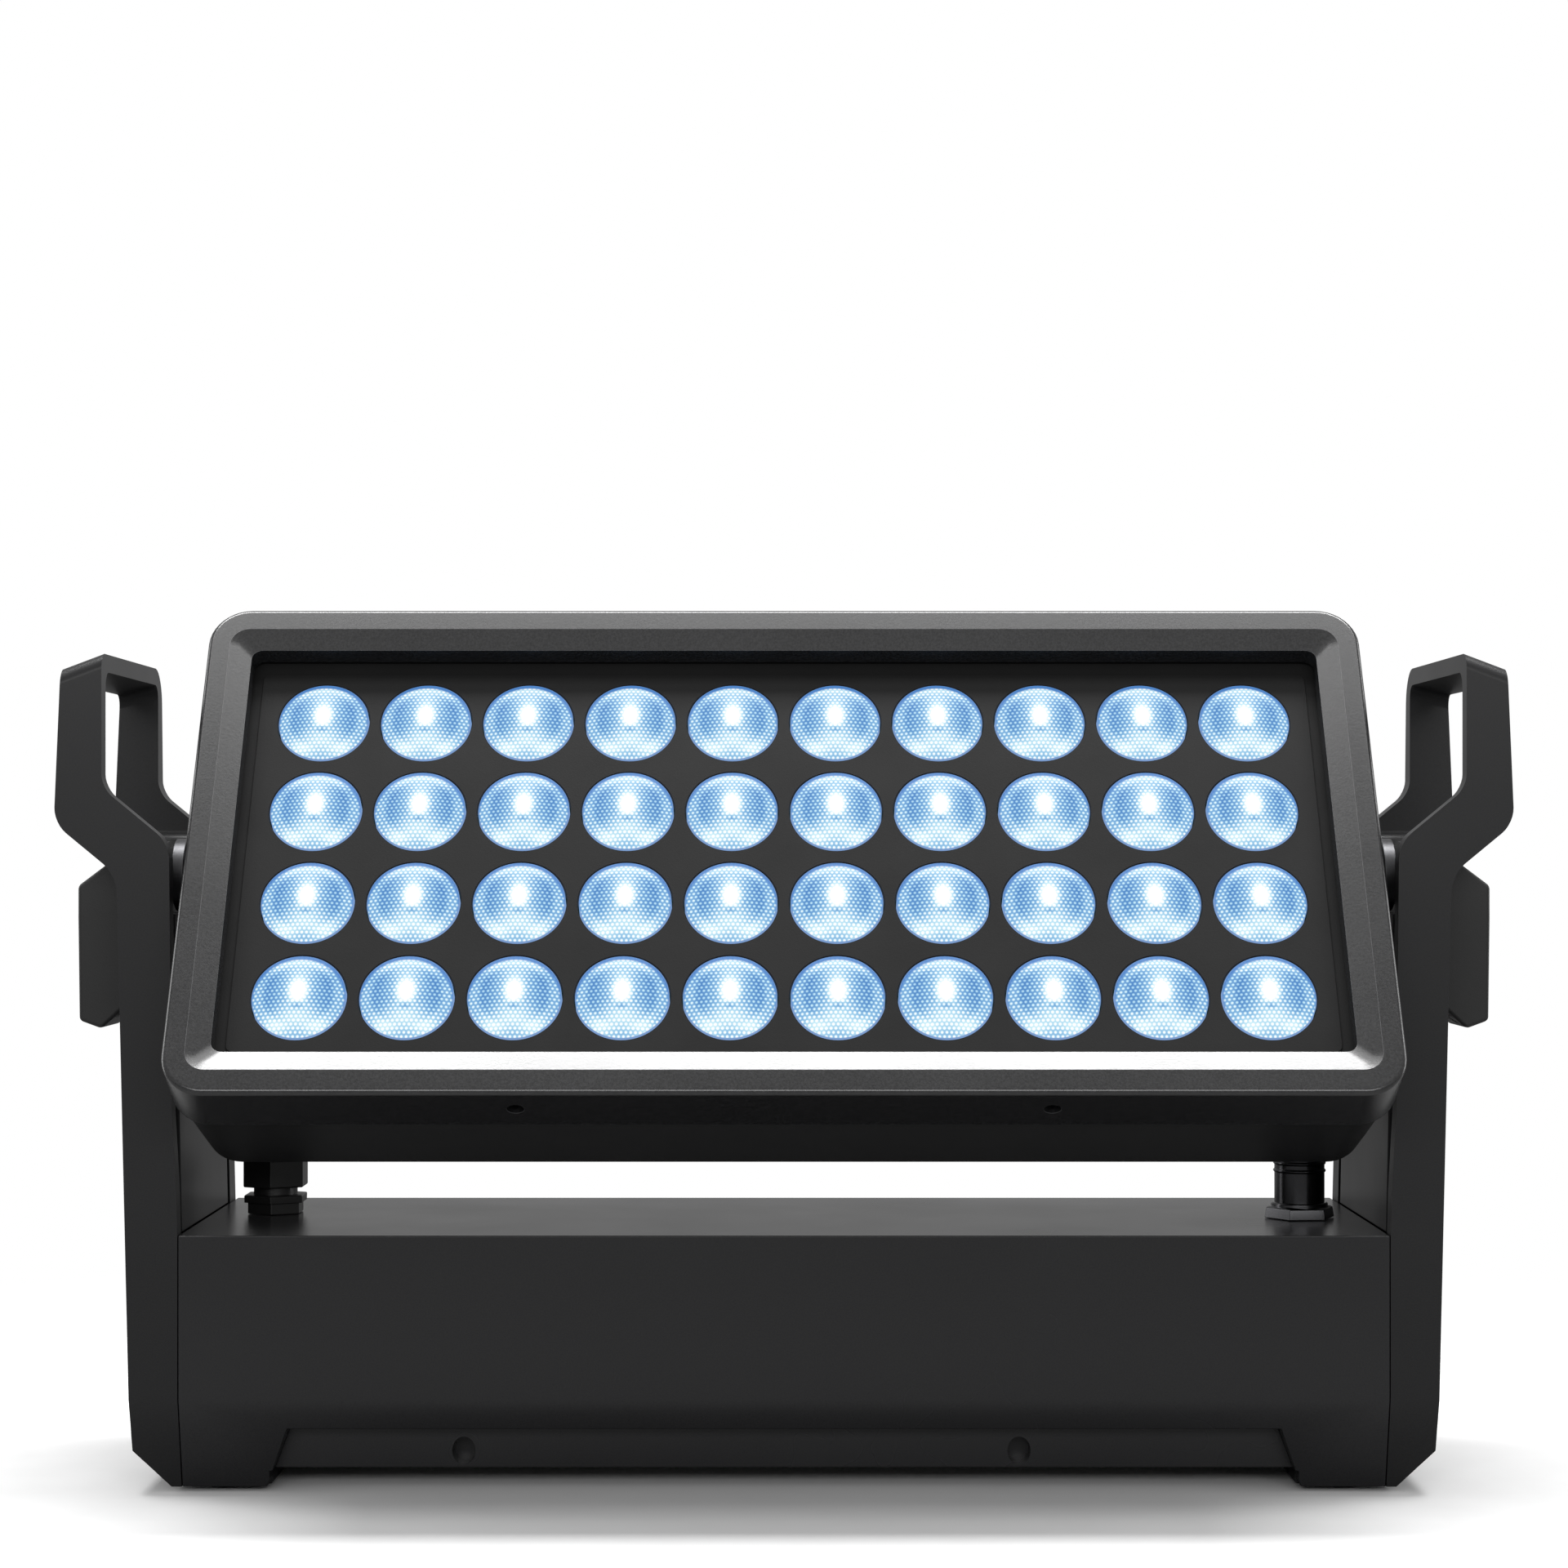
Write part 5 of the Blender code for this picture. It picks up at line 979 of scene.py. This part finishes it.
# %% Connectors
CONNECTOR_X, CONNECTOR_PITCH = 70, 44
FLANGE_HALF, FLANGE_FOOT, PIN_CIRCLE = 15.5, PANEL_FACE + SEAT, 5
pin_counts = {"power_inlet": 3, "power_outlet": 3, "data_inlet": 5, "data_outlet": 5}
for index, (name, pins) in enumerate(pin_counts.items()):
    x = CONNECTOR_X + CONNECTOR_PITCH * index
    shell = box("connector_" + name, (x - FLANGE_HALF, FLANGE_FOOT, PANEL_MID - FLANGE_HALF),
                (x + FLANGE_HALF, FLANGE_FOOT + 3, PANEL_MID + FLANGE_HALF))
    round_edges(shell, lambda edge: along(edge, "Y"), 4, 5)
    barrel = turned("barrel", [(12.5, 0.1), (12.5, 19.6), (11.5, 20.5)], 48)
    combine(shell, aim(barrel, "Y", (x, FLANGE_FOOT, PANEL_MID)), "UNION")
    bore = turned("bore", [(9.5, 5.5), (9.5, 30)], 48)
    combine(shell, aim(bore, "Y", (x, FLANGE_FOOT, PANEL_MID)))
    for pin in range(pins):
        angle = 2 * math.pi * pin / pins
        aside, above = PIN_CIRCLE * math.cos(angle), PIN_CIRCLE * math.sin(angle)
        contact = turned("pin", [(1.2, 0), (1.2, 9), (0.6, 9.8)], 16)
        combine(shell, aim(contact, "Y", (x + aside, FLANGE_FOOT + 5.3, PANEL_MID + above)), "UNION")
    for aside in (-12, 12):
        ear = turned("ear", [(1.8, -1), (1.8, 5)], 24)
        combine(shell, aim(ear, "Y", (x + aside, FLANGE_FOOT + 1.9, PANEL_MID + aside)))
    soften(shell, 0.3, 2)
    finish(shell, "base", lever_nylon, [name])

# %% [markdown]
# ## Finishes on what stays
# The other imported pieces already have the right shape: fans, board, heatsink, bolts, pads, feet and buttons.
# Each gets the finish of what it is made of.

# %% Carried-over pieces
finishes = {
    rubber: ["front_gasket", "friction_washer_left", "friction_washer_right", "rubber_foot_front_left",
             "rubber_foot_front_right", "rubber_foot_rear_left", "rubber_foot_rear_right"],
    board_mask: ["led_board", "control_board"],
    sink_aluminium: ["heatsink", "power_supply"],
    arm_coat: ["arm_cover_left", "arm_cover_right"],
    lever_nylon: ["fan_frame_1", "fan_frame_2", "fan_frame_3", "fan_rotor_1", "fan_rotor_2", "fan_rotor_3",
                  "vent_plug", "control_plate", "menu_button_1", "menu_button_2", "menu_button_3",
                  "menu_button_4"],
    menu_window: ["display_window"],
    zinc_steel: ["bracket_pad_left", "bracket_pad_right", "pivot_bolt_left", "pivot_bolt_right",
                 "lever_pin_left", "lever_pin_right"],
}
for material, names in finishes.items():
    for name in names:
        frame["nodes"][name].data.materials.clear()
        frame["nodes"][name].data.materials.append(material)
print(sum(len(names) for names in finishes.values()), "packed pieces keep their shape")

# %% [markdown]
# ## Floor, light and camera
# The photograph is a product shot on white. The floor is plain paper near the light, where it takes the soft
# shadow, and fades to pure white further out, so that no horizon shows. To all other rays it is a mid grey,
# so that the underside of the head stays as dark as it is in the photograph.

# %% Floor: paper that fades to white
PAPER_REACH, WHITE_REACH = 0.32, 0.75  # in metres from the middle
floor_paper, tree, shader = new_material("studio_floor_paper")
place = node(tree, "ShaderNodeTexCoord").outputs["Object"]
grain = node(tree, "ShaderNodeTexNoise", Vector=place, Scale=per_metre(25))
paper = node(tree, "ShaderNodeMix", RGBA, _0=grain.outputs[0], _6=linear("#f6f6f6"), _7=linear("#fcfcfc"))
rays = node(tree, "ShaderNodeLightPath")
colour = node(tree, "ShaderNodeMix", RGBA, _0=rays.outputs["Is Camera Ray"], _6=linear("#868686"),
              _7=paper.outputs[2])
tree.links.new(colour.outputs[2], shader.inputs["Base Color"])
shader.inputs["Roughness"].default_value = 0.9
shader.inputs["Specular IOR Level"].default_value = 0.0
away = node(tree, "ShaderNodeVectorMath", {"operation": "LENGTH"}, _0=place).outputs["Value"]
far = node(tree, "ShaderNodeMapRange", SMOOTH, Value=away, From_Min=PAPER_REACH, From_Max=WHITE_REACH)
fade = node(tree, "ShaderNodeMath", {"operation": "MULTIPLY"}, _0=far.outputs[0],
            _1=rays.outputs["Is Camera Ray"])
white = node(tree, "ShaderNodeEmission", Color=linear("#ffffff"), Strength=1.0)
mixed = node(tree, "ShaderNodeMixShader", _0=fade.outputs[0], _1=shader.outputs[0], _2=white.outputs[0])
tree.links.new(mixed.outputs[0], tree.nodes["Material Output"].inputs["Surface"])
print(floor_paper.name, "fades to white between", PAPER_REACH, "and", WHITE_REACH, "m")

# %% Floor
deselect()
bpy.ops.mesh.primitive_plane_add(size=12, location=(0, 0, -0.0005))
floor = bpy.context.active_object
floor.name = "studio_floor"
floor.data.materials.append(floor_paper)
floor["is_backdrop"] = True
print("floor", round(floor.dimensions.x), "m wide")

# %% World
world = bpy.data.worlds.new("studio")
bpy.context.scene.world = world
world.use_nodes = True
tree = world.node_tree
tree.nodes.clear()
rays = node(tree, "ShaderNodeLightPath")
plain = node(tree, "ShaderNodeBackground", Color=linear("#ffffff"), Strength=0.38)
white = node(tree, "ShaderNodeBackground", Color=linear("#ffffff"), Strength=1.0)
mixed = node(tree, "ShaderNodeMixShader", _0=rays.outputs["Is Camera Ray"], _1=plain.outputs[0],
             _2=white.outputs[0])
node(tree, "ShaderNodeOutputWorld", Surface=mixed.outputs[0])
print("world light", round(plain.inputs["Strength"].default_value, 2))


# %% [markdown]
# The bottom chamfer of the frame is nearly white and the flat above it grey. Both follow from one light
# overhead: a bright strip right above, which the chamfer mirrors, and a weaker panel in front of it, which
# the flat catches at its top. A weak fill from in front keeps the mask even up to the frame, and two side
# lights draw the edges.

# %% Lamps
def softbox(name, place, target, width, height, radiance):
    lamp = bpy.data.lights.new(name, "AREA")
    lamp.shape = "RECTANGLE"
    lamp.size = width
    lamp.size_y = height
    lamp.energy = radiance * math.pi * width * height
    light = bpy.data.objects.new(name, lamp)
    light.location = place
    light.rotation_euler = (Vector(target) - Vector(place)).to_track_quat("-Z", "Y").to_euler()
    bpy.context.scene.collection.objects.link(light)


softbox("overhead_strip", (0.0, 0.08, 1.6), (0.0, 0.08, 0.0), 1.8, 0.36, 17)
softbox("overhead_panel", (0.0, -0.42, 1.6), (0.0, -0.2, 0.2), 2.0, 0.32, 2.2)
softbox("front_fill", (0.0, -2.6, 0.95), (0.0, 0.0, 0.2), 2.6, 0.5, 4.5)
softbox("side_left", (-1.5, 0.4, 0.6), (0.0, 0.0, 0.2), 0.4, 1.2, 3)
softbox("side_right", (1.5, 0.4, 0.6), (0.0, 0.0, 0.2), 0.4, 1.2, 3)
print("five softboxes")

# %% [markdown]
# The camera stands 1.3 m in front, a little above the tilt axis, and looks level. The photograph shows no
# converging uprights, so the camera isn't tilted; a small lens shift puts the light where the photograph has
# it. The photograph is 1920 pixels wide, its horizon is 1041 pixels down, and at this distance its lens is
# 3915 pixels long.

# %% Camera
PHOTO_PIXELS, HORIZON_PIXEL, LENS_PIXELS = 1920, 1041, 3915
CAMERA_PLACE = (0.0, -1.325, 0.2576)
camera_data = bpy.data.cameras.new("camera")
camera_data.sensor_width = 36
camera_data.lens = LENS_PIXELS / PHOTO_PIXELS * camera_data.sensor_width
camera_data.shift_y = (HORIZON_PIXEL - PHOTO_PIXELS / 2) / PHOTO_PIXELS
camera = bpy.data.objects.new("camera", camera_data)
camera.location = CAMERA_PLACE
camera.rotation_euler = (math.radians(90), 0, 0)
bpy.context.scene.collection.objects.link(camera)
bpy.context.scene.camera = camera
bpy.context.scene.view_settings.view_transform = "Standard"
print("camera lens", round(camera_data.lens, 1), "mm")

# %% Sizes
low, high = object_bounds()
print("dressed size", [round(v / MM, 1) for v in high - low], "mm")
